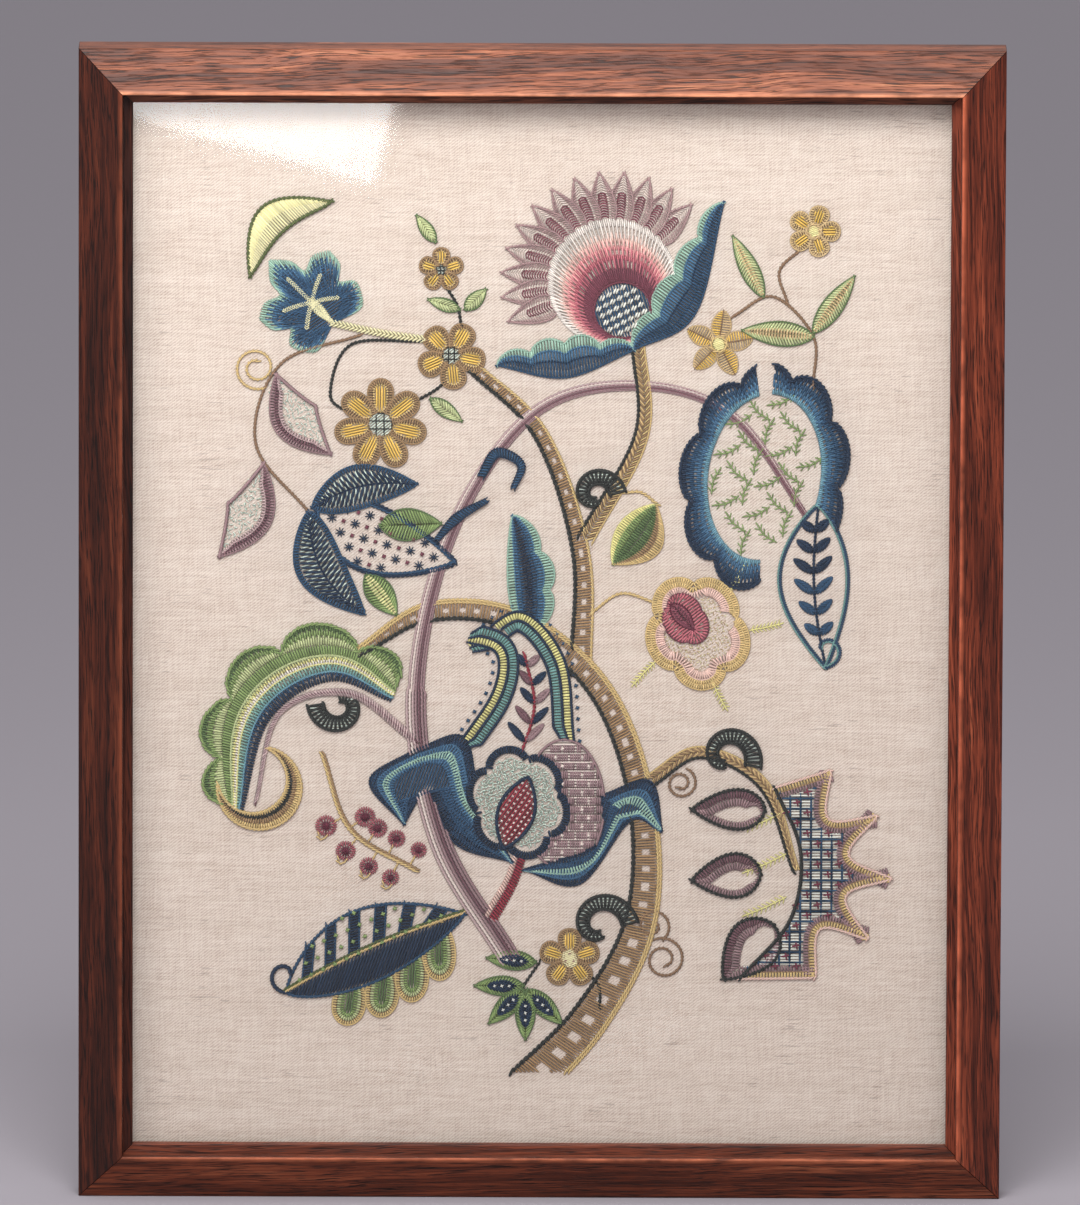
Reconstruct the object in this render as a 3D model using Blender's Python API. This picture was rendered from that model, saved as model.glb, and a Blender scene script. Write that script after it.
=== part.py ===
"""An embroidered linen panel in its glazed oak frame, standing upright on its bottom rail.

Four mitred rails of one moulding hold a sandwich: glass in front, an air space for the raised
stitching, the stretched linen, and the board that it is mounted on. The front faces -Y, and the
origin is on the surface under the middle of the frame.
"""

import math

import bmesh
import bpy
from mathutils import Vector

# Driving dimensions, in metres.
FRAME_WIDTH = 0.460
FRAME_HEIGHT = 0.580
GAP = 0.0003

# The moulding, measured across the rail from its outer side and forward from its back.
SIDE_DEPTH = 0.022
FACE_WIDTH = 0.022
FACE_RISE = 0.011
LIP_DROP = 0.0095
LIP_SETBACK = 0.0003
LIP_WIDTH = 0.005
LIP_FALL = 0.0005
LIP_THICKNESS = 0.006
RABBET_INSET = 0.021
OUTER_RADIUS = 0.0012
ARRIS_RADIUS = 0.0008
ARC_STEPS = 4

# The sandwich behind the lip, from front to back.
GLASS_THICKNESS = 0.002
STITCH_SPACE = 0.0026
LINEN_THICKNESS = 0.001
BOARD_THICKNESS = 0.003

ARRIS_HEIGHT = SIDE_DEPTH + FACE_RISE
RABBET_DEPTH = ARRIS_HEIGHT - LIP_DROP - LIP_THICKNESS
PANEL_WIDTH = FRAME_WIDTH - 2 * (RABBET_INSET + GAP)
PANEL_HEIGHT = FRAME_HEIGHT - 2 * (RABBET_INSET + GAP)


def clear_scene():
    """Remove whatever the file opened with."""
    for item in list(bpy.data.objects):
        bpy.data.objects.remove(item, do_unlink=True)


def make_material(name, colour, roughness, alpha=1.0):
    """A Principled material in one plain colour."""
    material = bpy.data.materials.new(name)
    material.use_nodes = True
    shader = material.node_tree.nodes["Principled BSDF"]
    shader.inputs["Base Color"].default_value = (*colour, 1.0)
    shader.inputs["Roughness"].default_value = roughness
    shader.inputs["Metallic"].default_value = 0.0
    shader.inputs["Alpha"].default_value = alpha
    return material


def add_object(name, mesh, material, location, turn=0.0):
    """Place a mesh in the scene, turned about the axis that runs from front to back."""
    mesh.materials.append(material)
    item = bpy.data.objects.new(name, mesh)
    item.location = location
    item.rotation_euler = (0.0, turn, 0.0)
    bpy.context.collection.objects.link(item)
    return item


def rounded(before, corner, after, radius):
    """The corner's arc as a list of points, tangent to both of its sides."""
    here = Vector(corner)
    back = (Vector(before) - here).normalized()
    ahead = (Vector(after) - here).normalized()
    half = back.angle(ahead) / 2
    middle = here + (back + ahead).normalized() * radius / math.sin(half)
    start = here + back * radius / math.tan(half) - middle
    end = here + ahead * radius / math.tan(half) - middle
    sweep = start.angle_signed(end)
    points = []
    for step in range(ARC_STEPS + 1):
        turn = -sweep * step / ARC_STEPS
        x = start.x * math.cos(turn) - start.y * math.sin(turn)
        y = start.x * math.sin(turn) + start.y * math.cos(turn)
        points.append(tuple(middle + Vector((x, y))))
    return points


def moulding_profile():
    """Outline of the moulding as (inset from the outer side, height above the back)."""
    back_outer = (0.0, 0.0)
    front_outer = (0.0, SIDE_DEPTH)
    arris = (FACE_WIDTH, ARRIS_HEIGHT)
    lip_root = (FACE_WIDTH + LIP_SETBACK, ARRIS_HEIGHT - LIP_DROP)
    lip_front = (FACE_WIDTH + LIP_WIDTH, ARRIS_HEIGHT - LIP_DROP - LIP_FALL)
    lip_back = (FACE_WIDTH + LIP_WIDTH, RABBET_DEPTH)
    rabbet = (RABBET_INSET, RABBET_DEPTH)
    back_inner = (RABBET_INSET, 0.0)
    outline = [back_outer]
    outline += rounded(back_outer, front_outer, arris, OUTER_RADIUS)
    outline += rounded(front_outer, arris, lip_root, ARRIS_RADIUS)
    outline += [lip_root]
    outline += rounded(lip_root, lip_front, lip_back, ARRIS_RADIUS)
    outline += [lip_back, rabbet, back_inner]
    return outline


def half_depth():
    """Half of the depth that is left once the inner arris is rounded."""
    return max(height for inset, height in moulding_profile()) / 2


def rail_mesh(name, outer_length):
    """One rail along X with its outer side at Z = 0, mitred at both ends."""
    mitre_trim = GAP / math.sqrt(2)
    back = half_depth()
    shape = bmesh.new()
    ends = []
    for side in (-1, 1):
        loop = []
        for inset, height in moulding_profile():
            along = side * (outer_length / 2 - inset - mitre_trim)
            loop.append(shape.verts.new((along, back - height, -inset)))
        ends.append(loop)
    count = len(ends[0])
    for index in range(count):
        following = (index + 1) % count
        shape.faces.new(
            (ends[0][index], ends[1][index], ends[1][following], ends[0][following])
        )
    shape.faces.new(reversed(ends[1]))
    shape.faces.new(ends[0])
    bmesh.ops.recalc_face_normals(shape, faces=shape.faces)
    mesh = bpy.data.meshes.new(name)
    shape.to_mesh(mesh)
    shape.free()
    mesh.shade_smooth()
    mesh.set_sharp_from_angle(angle=math.radians(30))
    return mesh


def make_rails():
    """The four rails, each turned to its side of the frame."""
    oak = make_material("oak", (0.16, 0.06, 0.035), 0.42)
    middle = FRAME_HEIGHT / 2
    side = FRAME_WIDTH / 2
    rails = (
        ("rail_top", FRAME_WIDTH, (0.0, 0.0, FRAME_HEIGHT), 0.0),
        ("rail_right", FRAME_HEIGHT, (side, 0.0, middle), math.pi / 2),
        ("rail_bottom", FRAME_WIDTH, (0.0, 0.0, 0.0), math.pi),
        ("rail_left", FRAME_HEIGHT, (-side, 0.0, middle), -math.pi / 2),
    )
    for name, length, location, turn in rails:
        add_object(name, rail_mesh(name, length), oak, location, turn)


def plate_mesh(name, thickness):
    """A flat plate that fits inside the rabbet."""
    shape = bmesh.new()
    bmesh.ops.create_cube(shape, size=1.0)
    bmesh.ops.scale(shape, vec=(PANEL_WIDTH, thickness, PANEL_HEIGHT), verts=shape.verts)
    mesh = bpy.data.meshes.new(name)
    shape.to_mesh(mesh)
    shape.free()
    return mesh


def make_sandwich():
    """Glass, linen and board, one behind the other, from the lip backwards."""
    plates = (
        ("glass", GLASS_THICKNESS, GAP, make_material("glass", (0.95, 0.98, 0.96), 0.03, 0.3)),
        ("linen", LINEN_THICKNESS, STITCH_SPACE, make_material("linen", (0.72, 0.63, 0.54), 0.9)),
        ("backing_board", BOARD_THICKNESS, GAP, make_material("board", (0.42, 0.33, 0.23), 0.85)),
    )
    front = half_depth() - RABBET_DEPTH
    for name, thickness, space, material in plates:
        front += space
        location = (0.0, front + thickness / 2, FRAME_HEIGHT / 2)
        add_object(name, plate_mesh(name, thickness), material, location)
        front += thickness


clear_scene()
make_rails()
make_sandwich()
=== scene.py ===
# %% [markdown]
# # A crewel embroidery in its oak frame
# The object is a piece of twill linen worked with wool, mounted on a board behind glass in a
# mitred oak frame. The frame, glass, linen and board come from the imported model, in metres,
# and stay where they are. This script gives them their finishes, lays the linen as a real
# sheet, and works the embroidery on it stitch by stitch.

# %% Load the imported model
import math

import bpy
import numpy as np
from mathutils import Matrix, Vector


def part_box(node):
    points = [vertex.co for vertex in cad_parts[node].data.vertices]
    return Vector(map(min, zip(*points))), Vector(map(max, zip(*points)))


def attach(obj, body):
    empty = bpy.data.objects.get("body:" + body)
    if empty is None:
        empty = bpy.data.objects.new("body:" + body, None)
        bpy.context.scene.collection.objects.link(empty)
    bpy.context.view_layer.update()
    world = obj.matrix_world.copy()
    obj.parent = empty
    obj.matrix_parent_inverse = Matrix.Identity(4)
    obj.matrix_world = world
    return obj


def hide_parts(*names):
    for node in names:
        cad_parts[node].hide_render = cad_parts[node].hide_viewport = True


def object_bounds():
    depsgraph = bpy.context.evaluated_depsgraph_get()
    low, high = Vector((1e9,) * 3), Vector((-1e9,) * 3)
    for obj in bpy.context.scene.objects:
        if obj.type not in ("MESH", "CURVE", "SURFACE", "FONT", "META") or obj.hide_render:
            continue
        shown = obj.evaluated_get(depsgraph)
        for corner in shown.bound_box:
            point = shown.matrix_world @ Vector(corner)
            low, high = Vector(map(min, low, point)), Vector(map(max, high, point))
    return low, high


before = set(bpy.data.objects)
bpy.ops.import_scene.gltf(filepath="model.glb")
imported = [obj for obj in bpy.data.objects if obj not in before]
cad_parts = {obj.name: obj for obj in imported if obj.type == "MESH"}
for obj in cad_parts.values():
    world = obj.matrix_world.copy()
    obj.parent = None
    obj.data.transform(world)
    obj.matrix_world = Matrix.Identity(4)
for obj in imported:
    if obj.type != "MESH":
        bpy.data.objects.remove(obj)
CAD_BOX = [list(corner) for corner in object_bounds()]
print("the frame measures", [round(high - low, 4) for low, high in zip(*CAD_BOX)])

# %% [markdown]
# ## Sizes taken from the model
# Every place below is worked out from the boxes of the linen and the glass, so the finishes
# and the stitches follow the model if its size changes.

# %% Measure the linen and the room in front of it
linen_low, linen_high = (Vector(corner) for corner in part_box("linen"))
glass_low, glass_high = (Vector(corner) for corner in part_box("glass"))
LINEN_FRONT = linen_low.y
LINEN_BACK = linen_high.y
LINEN_WIDTH = linen_high.x - linen_low.x
LINEN_HEIGHT = linen_high.z - linen_low.z
MIDDLE_X = (linen_low.x + linen_high.x) / 2
MIDDLE_Z = (linen_low.z + linen_high.z) / 2
STITCH_SPACE = LINEN_FRONT - glass_high.y
MM = 0.001
print("room for the stitching, in mm:", round(STITCH_SPACE / MM, 2))

# %% [markdown]
# ## Camera
# The frame is seen nearly square on, from a little above, with almost no perspective. A long
# lens from far away gives that. The aim is a little above the middle of the frame.

# %% Set up the camera
VIEW_ELEVATION = math.radians(10)
VIEW_DISTANCE = 12.0
VIEW_HEIGHT = 0.5998
SENSOR = 36.0
AIM = Vector((-0.0004, 0.0, MIDDLE_Z + 0.0109))
ROLL = math.radians(0.2)


def add_camera():
    """A long lens that looks at AIM from the front and a little above."""
    data = bpy.data.cameras.new("camera")
    data.sensor_width = SENSOR
    data.lens = SENSOR * VIEW_DISTANCE / VIEW_HEIGHT
    data.clip_start = 0.1
    data.clip_end = 200.0
    camera = bpy.data.objects.new("camera", data)
    back = Vector((0.0, -math.cos(VIEW_ELEVATION), math.sin(VIEW_ELEVATION)))
    turn = back.to_track_quat("Z", "Y").to_matrix() @ Matrix.Rotation(ROLL, 3, "Z")
    camera.matrix_world = Matrix.Translation(AIM + back * VIEW_DISTANCE) @ turn.to_4x4()
    bpy.context.collection.objects.link(camera)
    bpy.context.scene.camera = camera
    return camera


add_camera()
print("the camera stands", VIEW_DISTANCE, "m away")

# %% [markdown]
# ## Small helpers for materials
# Every finish below is a node tree. One helper adds a node, sets its properties and fills its
# inputs, with a number, a colour or another node's output, which keeps each recipe readable.

# %% Helpers for colours and node trees
def srgb(red, green, blue):
    """A colour given as 0 to 255 display values, turned into Blender's linear values."""
    channels = []
    for value in (red, green, blue):
        share = value / 255
        low = share <= 0.04045
        channels.append(share / 12.92 if low else ((share + 0.055) / 1.055) ** 2.4)
    return (*channels, 1.0)


def add_node(tree, kind, inputs=None, **settings):
    """Adds a node; inputs maps a socket's name or number to a value or to a socket."""
    node = tree.nodes.new(kind)
    for name, value in settings.items():
        setattr(node, name, value)
    for key, value in (inputs or {}).items():
        if isinstance(value, bpy.types.NodeSocket):
            tree.links.new(value, node.inputs[key])
        else:
            node.inputs[key].default_value = value
    return node


def new_material(name):
    """An empty material: its node tree, and its output node."""
    material = bpy.data.materials.new(name)
    material.use_nodes = True
    material.node_tree.nodes.clear()
    output = add_node(material.node_tree, "ShaderNodeOutputMaterial")
    return material, material.node_tree, output


def scaled_noise(tree, coordinates, scale, detail=3.0, roughness=0.5, stretch=(1, 1, 1)):
    """Noise on coordinates that are stretched first; returns its grey value."""
    mapping = add_node(tree, "ShaderNodeMapping", {"Vector": coordinates, "Scale": stretch})
    noise = add_node(
        tree, "ShaderNodeTexNoise",
        {"Vector": mapping.outputs[0], "Scale": scale, "Detail": detail, "Roughness": roughness},
    )
    return noise.outputs["Factor" if "Factor" in noise.outputs else "Fac"]


def ramp(tree, value, stops):
    """A colour ramp; stops is a list of (position, colour)."""
    node = add_node(tree, "ShaderNodeValToRGB", {"Fac": value})
    band = node.color_ramp
    while len(band.elements) < len(stops):
        band.elements.new(0.5)
    for element, (position, colour) in zip(band.elements, stops):
        element.position = position
        element.color = colour
    return node.outputs["Color"]


def mixed(tree, factor, first, second, how="MIX"):
    """Mixes two colours by a factor."""
    node = tree.nodes.new("ShaderNodeMix")
    node.data_type = "RGBA"
    node.blend_type = how
    for socket, value in ((node.inputs[0], factor), (node.inputs[6], first), (node.inputs[7], second)):
        if isinstance(value, bpy.types.NodeSocket):
            tree.links.new(value, socket)
        else:
            socket.default_value = value
    return node.outputs[2]


def calculated(tree, how, first, second=0.0, clamp=False):
    """One step of arithmetic on two values."""
    node = add_node(tree, "ShaderNodeMath", {0: first, 1: second}, operation=how)
    node.use_clamp = clamp
    return node.outputs[0]


def finish_surface(tree, output, shader_inputs, height=None, depth=0.001):
    """A Principled shader with an optional bump, joined to the output."""
    shader = add_node(tree, "ShaderNodeBsdfPrincipled", shader_inputs)
    if height is not None:
        bump = add_node(tree, "ShaderNodeBump", {"Height": height, "Strength": 1.0, "Distance": depth})
        tree.links.new(bump.outputs[0], shader.inputs["Normal"])
    tree.links.new(shader.outputs[0], output.inputs["Surface"])
    return shader


# %% [markdown]
# ## Floor and light
# The set is a plain pale floor, wide enough that it fills the view behind the frame from
# above, with soft area lights. The strongest is high in front and falls on the top rail, whose
# face slopes upwards. Each rail's stain also carries painted light and shade, palest on the top
# rail and darkest on the left. Two glowing cards in front, seen only in reflections, give
# the glass a soft reflection in its upper left corner and a faint one lower down.

# %% Lay the floor and place the lights
FLOOR_SIZE = 80.0


def add_floor():
    """One large pale plane at the height of the frame's underside."""
    half = FLOOR_SIZE / 2
    mesh = bpy.data.meshes.new("floor")
    corners = [(-half, -half, 0), (half, -half, 0), (half, half, 0), (-half, half, 0)]
    mesh.from_pydata(corners, [], [(0, 1, 2, 3)])
    floor = bpy.data.objects.new("floor", mesh)
    bpy.context.collection.objects.link(floor)
    material, tree, output = new_material("floor")
    finish_surface(tree, output, {"Base Color": srgb(144, 138, 144), "Roughness": 1.0})
    mesh.materials.append(material)


def add_light(name, place, aim, size, power):
    """A square soft light that faces a point."""
    data = bpy.data.lights.new(name, "AREA")
    data.shape = "SQUARE"
    data.size = size
    data.energy = power
    light = bpy.data.objects.new(name, data)
    light.location = place
    light.rotation_euler = (Vector(aim) - Vector(place)).to_track_quat("-Z", "Y").to_euler()
    bpy.context.collection.objects.link(light)


def add_world(strength):
    """An even pale light from all round."""
    world = bpy.data.worlds.new("world")
    bpy.context.scene.world = world
    world.use_nodes = True
    background = world.node_tree.nodes["Background"]
    background.inputs["Color"].default_value = srgb(236, 236, 240)
    background.inputs["Strength"].default_value = strength


def add_card(corners, strength):
    """A glowing card that only reflections see; corners are where its image lies on the glass."""
    eye = bpy.context.scene.camera.matrix_world.translation.copy()
    eye.y = 2 * glass_low.y - eye.y
    places = []
    for u, v in corners:
        spot = Vector((MIDDLE_X + u * MM, glass_low.y, MIDDLE_Z + v * MM))
        reach = (CARD_DISTANCE + eye.y) / (eye.y - spot.y)
        places.append(eye + (spot - eye) * reach)
    mesh = bpy.data.meshes.new("card")
    mesh.from_pydata(places, [], [tuple(range(len(places)))])
    card = bpy.data.objects.new("card", mesh)
    bpy.context.collection.objects.link(card)
    material, tree, output = new_material("card")
    glow = add_node(tree, "ShaderNodeEmission", {"Strength": strength})
    tree.links.new(glow.outputs[0], output.inputs["Surface"])
    mesh.materials.append(material)
    card.visible_camera = False
    card.visible_diffuse = False
    card.visible_shadow = False
    card.visible_transmission = False


CARD_DISTANCE = 0.5
add_floor()
add_world(0.76)
add_light("high_light", (-0.1, -2.0, 2.5), (0, 0, 0.30), 1.4, 82)
add_light("near_light", (-0.22, -0.75, 1.35), (-0.05, 0, 0.5), 0.6, 5.5)
add_light("right_light", (2.4, -2.2, 1.2), (0, 0, 0.3), 1.0, 5)
add_light("left_light", (-2.2, -2.2, 1.1), (0, 0, 0.3), 1.0, 14)
add_card([(-206, 266), (-72, 266), (-84, 222), (-145, 238), (-206, 255)], 17.0)
add_card([(-150, -205), (-71, -208), (-70, -211), (-150, -209)], 2.0)
bpy.context.scene.view_settings.view_transform = "Standard"
print("placed the floor, four lights and two cards")

# %% [markdown]
# ## Oak
# The rails are stained oak. Oak shows long streaks of early and late wood, short dark pores
# that run with the grain, and here and there a lighter ray fleck. All of it is stretched
# along the rail, so each rail needs its grain turned to its own length. The proud inner arris
# is a thin pale line, partly rubbed stain and partly a painted highlight along the ridge.
# Each rail's stain is multiplied by its own painted light and shade, palest on the top rail
# and darkest on the left, as the lights fall on each side.

# %% Stain the oak rails
FRONT_OF_FRAME = CAD_BOX[0][1]
ARRIS_WEAR_AND_HIGHLIGHT = 0.0009


def oak_material(name, lengthwise, shift, tone):
    """Stained oak whose grain runs along X or Z, with a pale arris; tone is painted light and shade for
    the rail's side, a factor on each channel.
    """
    material, tree, output = new_material(name)
    where = add_node(tree, "ShaderNodeTexCoord").outputs["Object"]
    across = 0.0 if lengthwise == "X" else math.radians(90)
    grain = add_node(
        tree, "ShaderNodeMapping",
        {"Vector": where, "Rotation": (0, across + math.radians(1.6), 0), "Location": shift},
    ).outputs[0]
    drift = scaled_noise(tree, grain, 9.0, 2.0, stretch=(1, 3, 3))
    bent = add_node(
        tree, "ShaderNodeVectorMath",
        {0: grain, 1: add_node(tree, "ShaderNodeCombineXYZ", {
            "Z": calculated(tree, "MULTIPLY", drift, 0.012)}).outputs[0]},
        operation="ADD",
    ).outputs[0]
    streaks = scaled_noise(tree, bent, 520, 4.0, 0.66, stretch=(0.022, 1, 1))
    figure = scaled_noise(tree, bent, 95, 3.0, 0.5, stretch=(0.05, 1, 1))
    pores = scaled_noise(tree, bent, 1700, 2.0, 0.55, stretch=(0.035, 1, 1))
    blend = calculated(tree, "ADD", calculated(tree, "MULTIPLY", streaks, 0.62),
                       calculated(tree, "MULTIPLY", figure, 0.42))
    stain = ramp(tree, blend, [
        (0.38, srgb(40, 18, 12)), (0.50, srgb(72, 36, 24)), (0.60, srgb(100, 54, 37)),
        (0.74, srgb(138, 88, 64))])
    pore_mask = ramp(tree, pores, [(0.38, (0.85, 0.85, 0.85, 1)), (0.47, (0, 0, 0, 1))])
    stain = mixed(tree, pore_mask, stain, srgb(16, 7, 5))
    y_of = add_node(tree, "ShaderNodeSeparateXYZ", {0: where}).outputs["Y"]
    # The proud inner arris is painted pale: partly rubbed stain, partly a painted highlight along the
    # ridge.
    proud = calculated(tree, "DIVIDE", calculated(tree, "SUBTRACT", FRONT_OF_FRAME + ARRIS_WEAR_AND_HIGHLIGHT, y_of),
                       ARRIS_WEAR_AND_HIGHLIGHT, clamp=True)
    patchy = ramp(tree, scaled_noise(tree, where, 60, 3.0), [
        (0.32, (0.25,) * 3 + (1,)), (0.6, (1, 1, 1, 1))])
    worn_and_highlit = mixed(tree, 1.0, proud, patchy, "MULTIPLY")
    stain = mixed(tree, worn_and_highlit, stain, srgb(150, 92, 68))
    # Painted light and shade: the stain is multiplied by the rail's tone, so each side of the frame
    # gets its own painted brightness.
    stain_with_painted_light = mixed(tree, 1.0, stain, (*tone, 1), "MULTIPLY")
    height = calculated(tree, "SUBTRACT", calculated(tree, "MULTIPLY", streaks, 0.5), pore_mask)
    gloss = ramp(tree, streaks, [(0.3, (0.46,) * 3 + (1,)), (0.7, (0.58,) * 3 + (1,))])
    finish_surface(tree, output, {
        "Base Color": stain_with_painted_light, "Roughness": gloss, "Specular IOR Level": 0.22}, height, 0.00010)
    return material


# The last entry of each rail, tone, is painted light and shade with a small shift of hue: the top rail
# is painted palest, the left darkest, the right and bottom between.
RAILS = (
    ("rail_top", "X", (0.0, 0.1, 0.3), (2.2, 2.45, 2.4)),
    ("rail_right", "Z", (0.7, 0.4, 0.0), (1.54, 1.0, 0.84)),
    ("rail_bottom", "X", (0.35, 0.9, 0.6), (1.35, 1.08, 0.92)),
    ("rail_left", "Z", (1.3, 0.2, 0.8), (0.56, 0.37, 0.28)),
)
for rail, lengthwise, shift, tone in RAILS:
    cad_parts[rail].material_slots[0].material = oak_material(
        rail + "_oak", lengthwise, shift, tone)
print("stained", len(RAILS), "rails")

# %% [markdown]
# ## Glass and board
# Picture glass is nearly invisible face on, so it is a clear layer with a polished surface
# whose strength follows the angle. The board behind is plain grey-brown fibreboard.

# %% Finish the glass and the board
def glass_material():
    """Clear glass for a thin pane: see-through, with reflections by angle."""
    material, tree, output = new_material("picture_glass")
    clear = add_node(tree, "ShaderNodeBsdfTransparent", {"Color": (0.985, 0.995, 0.99, 1)})
    polish = add_node(tree, "ShaderNodeBsdfGlossy", {"Color": (1, 1, 1, 1), "Roughness": 0.05})
    share = add_node(tree, "ShaderNodeFresnel", {"IOR": 1.25})
    mix = add_node(tree, "ShaderNodeMixShader", {
        0: share.outputs[0], 1: clear.outputs[0], 2: polish.outputs[0]})
    tree.links.new(mix.outputs[0], output.inputs["Surface"])
    return material


def board_material():
    """Pressed fibreboard: a fine mottled brown."""
    material, tree, output = new_material("fibreboard")
    where = add_node(tree, "ShaderNodeTexCoord").outputs["Object"]
    fibres = scaled_noise(tree, where, 900, 5.0, 0.7)
    cloud = scaled_noise(tree, where, 25, 3.0)
    colour = ramp(tree, fibres, [(0.3, srgb(120, 92, 64)), (0.7, srgb(165, 135, 100))])
    colour = mixed(tree, cloud, colour, srgb(138, 108, 78))
    finish_surface(tree, output, {"Base Color": colour, "Roughness": 0.85}, fibres, 0.0001)
    return material


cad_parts["glass"].material_slots[0].material = glass_material()
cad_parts["backing_board"].material_slots[0].material = board_material()
print("finished the glass and the board")

# %% [markdown]
# ## Linen
# The ground is one piece of oatmeal linen, stretched flat over the board. A stretched cloth
# is never quite flat, so the sheet is a fine grid with a very slight unevenness, given its
# thickness afterwards. The twill lines, the threads and the dark slubs are in its material.

# %% Lay the linen
LINEN_CELL = 0.004
LINEN_UNEVEN = 0.00012
LINEN_THICK = 0.0008


def linen_material():
    """Oatmeal twill: fine diagonal lines, two thread directions and small dark slubs."""
    material, tree, output = new_material("linen_twill")
    where = add_node(tree, "ShaderNodeTexCoord").outputs["Object"]
    diagonal = add_node(tree, "ShaderNodeMapping", {
        "Vector": where, "Rotation": (0, math.radians(38), 0)}).outputs[0]
    wobble = scaled_noise(tree, where, 420, 2.0)
    lines = add_node(tree, "ShaderNodeTexWave", {
        "Vector": diagonal, "Scale": 260.0, "Distortion": 1.6, "Detail": 2.0, "Detail Scale": 2.0},
        wave_type="BANDS", bands_direction="Z").outputs["Fac"]
    warp = scaled_noise(tree, where, 1500, 3.0, 0.6, stretch=(1, 1, 0.06))
    weft = scaled_noise(tree, where, 1500, 3.0, 0.6, stretch=(0.06, 1, 1))
    threads = calculated(tree, "ADD", calculated(tree, "MULTIPLY", warp, 0.42),
                         calculated(tree, "MULTIPLY", weft, 0.58))
    tone = calculated(tree, "ADD", calculated(tree, "MULTIPLY", lines, 0.30),
                      calculated(tree, "MULTIPLY", threads, 0.9))
    colour = ramp(tree, tone, [(0.34, srgb(190, 164, 150)), (0.60, srgb(228, 209, 198)),
                               (0.86, srgb(243, 230, 220))])
    streaky = scaled_noise(tree, where, 170, 3.0, 0.55, stretch=(0.06, 1, 1))
    bands = ramp(tree, streaky, [(0.35, (0.94, 0.93, 0.92, 1)), (0.65, (1, 1, 1, 1))])
    colour = mixed(tree, 1.0, colour, bands, "MULTIPLY")
    for stretch, shift, most in (((0.09, 1, 1), 3.0, 0.34), ((1, 1, 0.10), 7.0, 0.10)):
        moved = add_node(tree, "ShaderNodeMapping", {
            "Vector": where, "Location": (shift, shift, shift)}).outputs[0]
        slubs = scaled_noise(tree, moved, 1100, 1.0, 0.4, stretch=stretch)
        rare = scaled_noise(tree, moved, 45, 1.0, 0.4)
        marks = calculated(tree, "MULTIPLY", slubs, calculated(tree, "ADD", rare, 0.5))
        mask = ramp(tree, marks, [(0.735, (0, 0, 0, 1)), (0.82, (most, most, most, 1))])
        colour = mixed(tree, mask, colour, srgb(128, 100, 90))
    height = calculated(tree, "ADD", calculated(tree, "MULTIPLY", lines, 0.6), threads)
    finish_surface(tree, output, {
        "Base Color": colour, "Roughness": 0.9, "Sheen Weight": 0.15}, height, 0.00006)
    return material


def make_linen():
    """A closed thin sheet, gently uneven, as large as the CAD linen."""
    columns = round(LINEN_WIDTH / LINEN_CELL)
    rows = round(LINEN_HEIGHT / LINEN_CELL)
    across = np.linspace(linen_low.x, linen_high.x, columns + 1)
    up = np.linspace(linen_low.z, linen_high.z, rows + 1)
    x, z = np.meshgrid(across, up)
    ripple = np.sin(x * 31 + np.sin(z * 17) * 2) * np.cos(z * 23 + np.sin(x * 13) * 2)
    front = LINEN_FRONT + LINEN_UNEVEN * (1 + ripple)
    count = x.size
    places = np.concatenate([
        np.stack([x.ravel(), front.ravel(), z.ravel()], 1),
        np.stack([x.ravel(), front.ravel() + LINEN_THICK - 2 * LINEN_UNEVEN, z.ravel()], 1),
    ])
    index = np.arange(count).reshape(x.shape)
    cell = np.stack([index[:-1, :-1], index[:-1, 1:], index[1:, 1:], index[1:, :-1]], -1).reshape(-1, 4)
    rim = np.concatenate([index[0, :], index[1:, -1], index[-1, -2::-1], index[-2:0:-1, 0]])
    after = np.roll(rim, -1)
    edge = np.stack([rim, rim + count, after + count, after], 1)
    faces = np.concatenate([cell, cell[:, ::-1] + count, edge])
    mesh = bpy.data.meshes.new("linen_sheet")
    mesh.from_pydata(places.tolist(), [], faces.tolist())
    mesh.shade_smooth()
    mesh.set_sharp_from_angle(angle=math.radians(40))
    mesh.materials.append(linen_material())
    sheet = bpy.data.objects.new("linen_sheet", mesh)
    bpy.context.collection.objects.link(sheet)
    return sheet


linen_sheet = make_linen()
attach(linen_sheet, "root")
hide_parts("linen")
print("linen sheet of", len(linen_sheet.data.polygons), "faces")

# %% [markdown]
# ## Wool
# Crewel wool is a soft two-ply yarn. Every stitch in the panel is one short length of it that
# comes up through the linen, lies on it and goes down again. The palette is a list of named
# colours, and each motif asks for its wools by name.

# %% Dye the wool
WOOL = {
    "navy": (30, 48, 72), "deep": (42, 74, 104), "blue": (66, 106, 138), "sky": (104, 148, 166),
    "mint": (152, 184, 166), "teal": (112, 154, 150), "paleyellow": (226, 216, 142),
    "cream": (232, 222, 176), "yellow": (252, 206, 92), "gold": (208, 178, 120),
    "tan": (198, 168, 122), "bronze": (158, 126, 90), "trunk": (164, 128, 88),
    "charcoal": (44, 46, 44), "darkmauve": (116, 80, 88), "mauve": (150, 118, 122),
    "lightmauve": (184, 156, 156), "palemauve": (218, 200, 192), "plum": (120, 60, 75),
    "rose": (190, 104, 116), "pink": (230, 160, 158), "shell": (255, 242, 234),
    "raypink": (172, 138, 138), "maroon": (122, 52, 70), "palepink": (244, 204, 192),
    "red": (150, 45, 60), "berry": (166, 84, 96), "berrydark": (95, 30, 50),
    "forest": (92, 114, 70), "green": (132, 152, 92), "palegreen": (186, 192, 140),
    "olive": (88, 98, 56), "sprig": (222, 212, 150), "line": (108, 78, 56), "brown": (140, 108, 82),
    "frost": (206, 216, 204), "white": (240, 236, 226),
}


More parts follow.
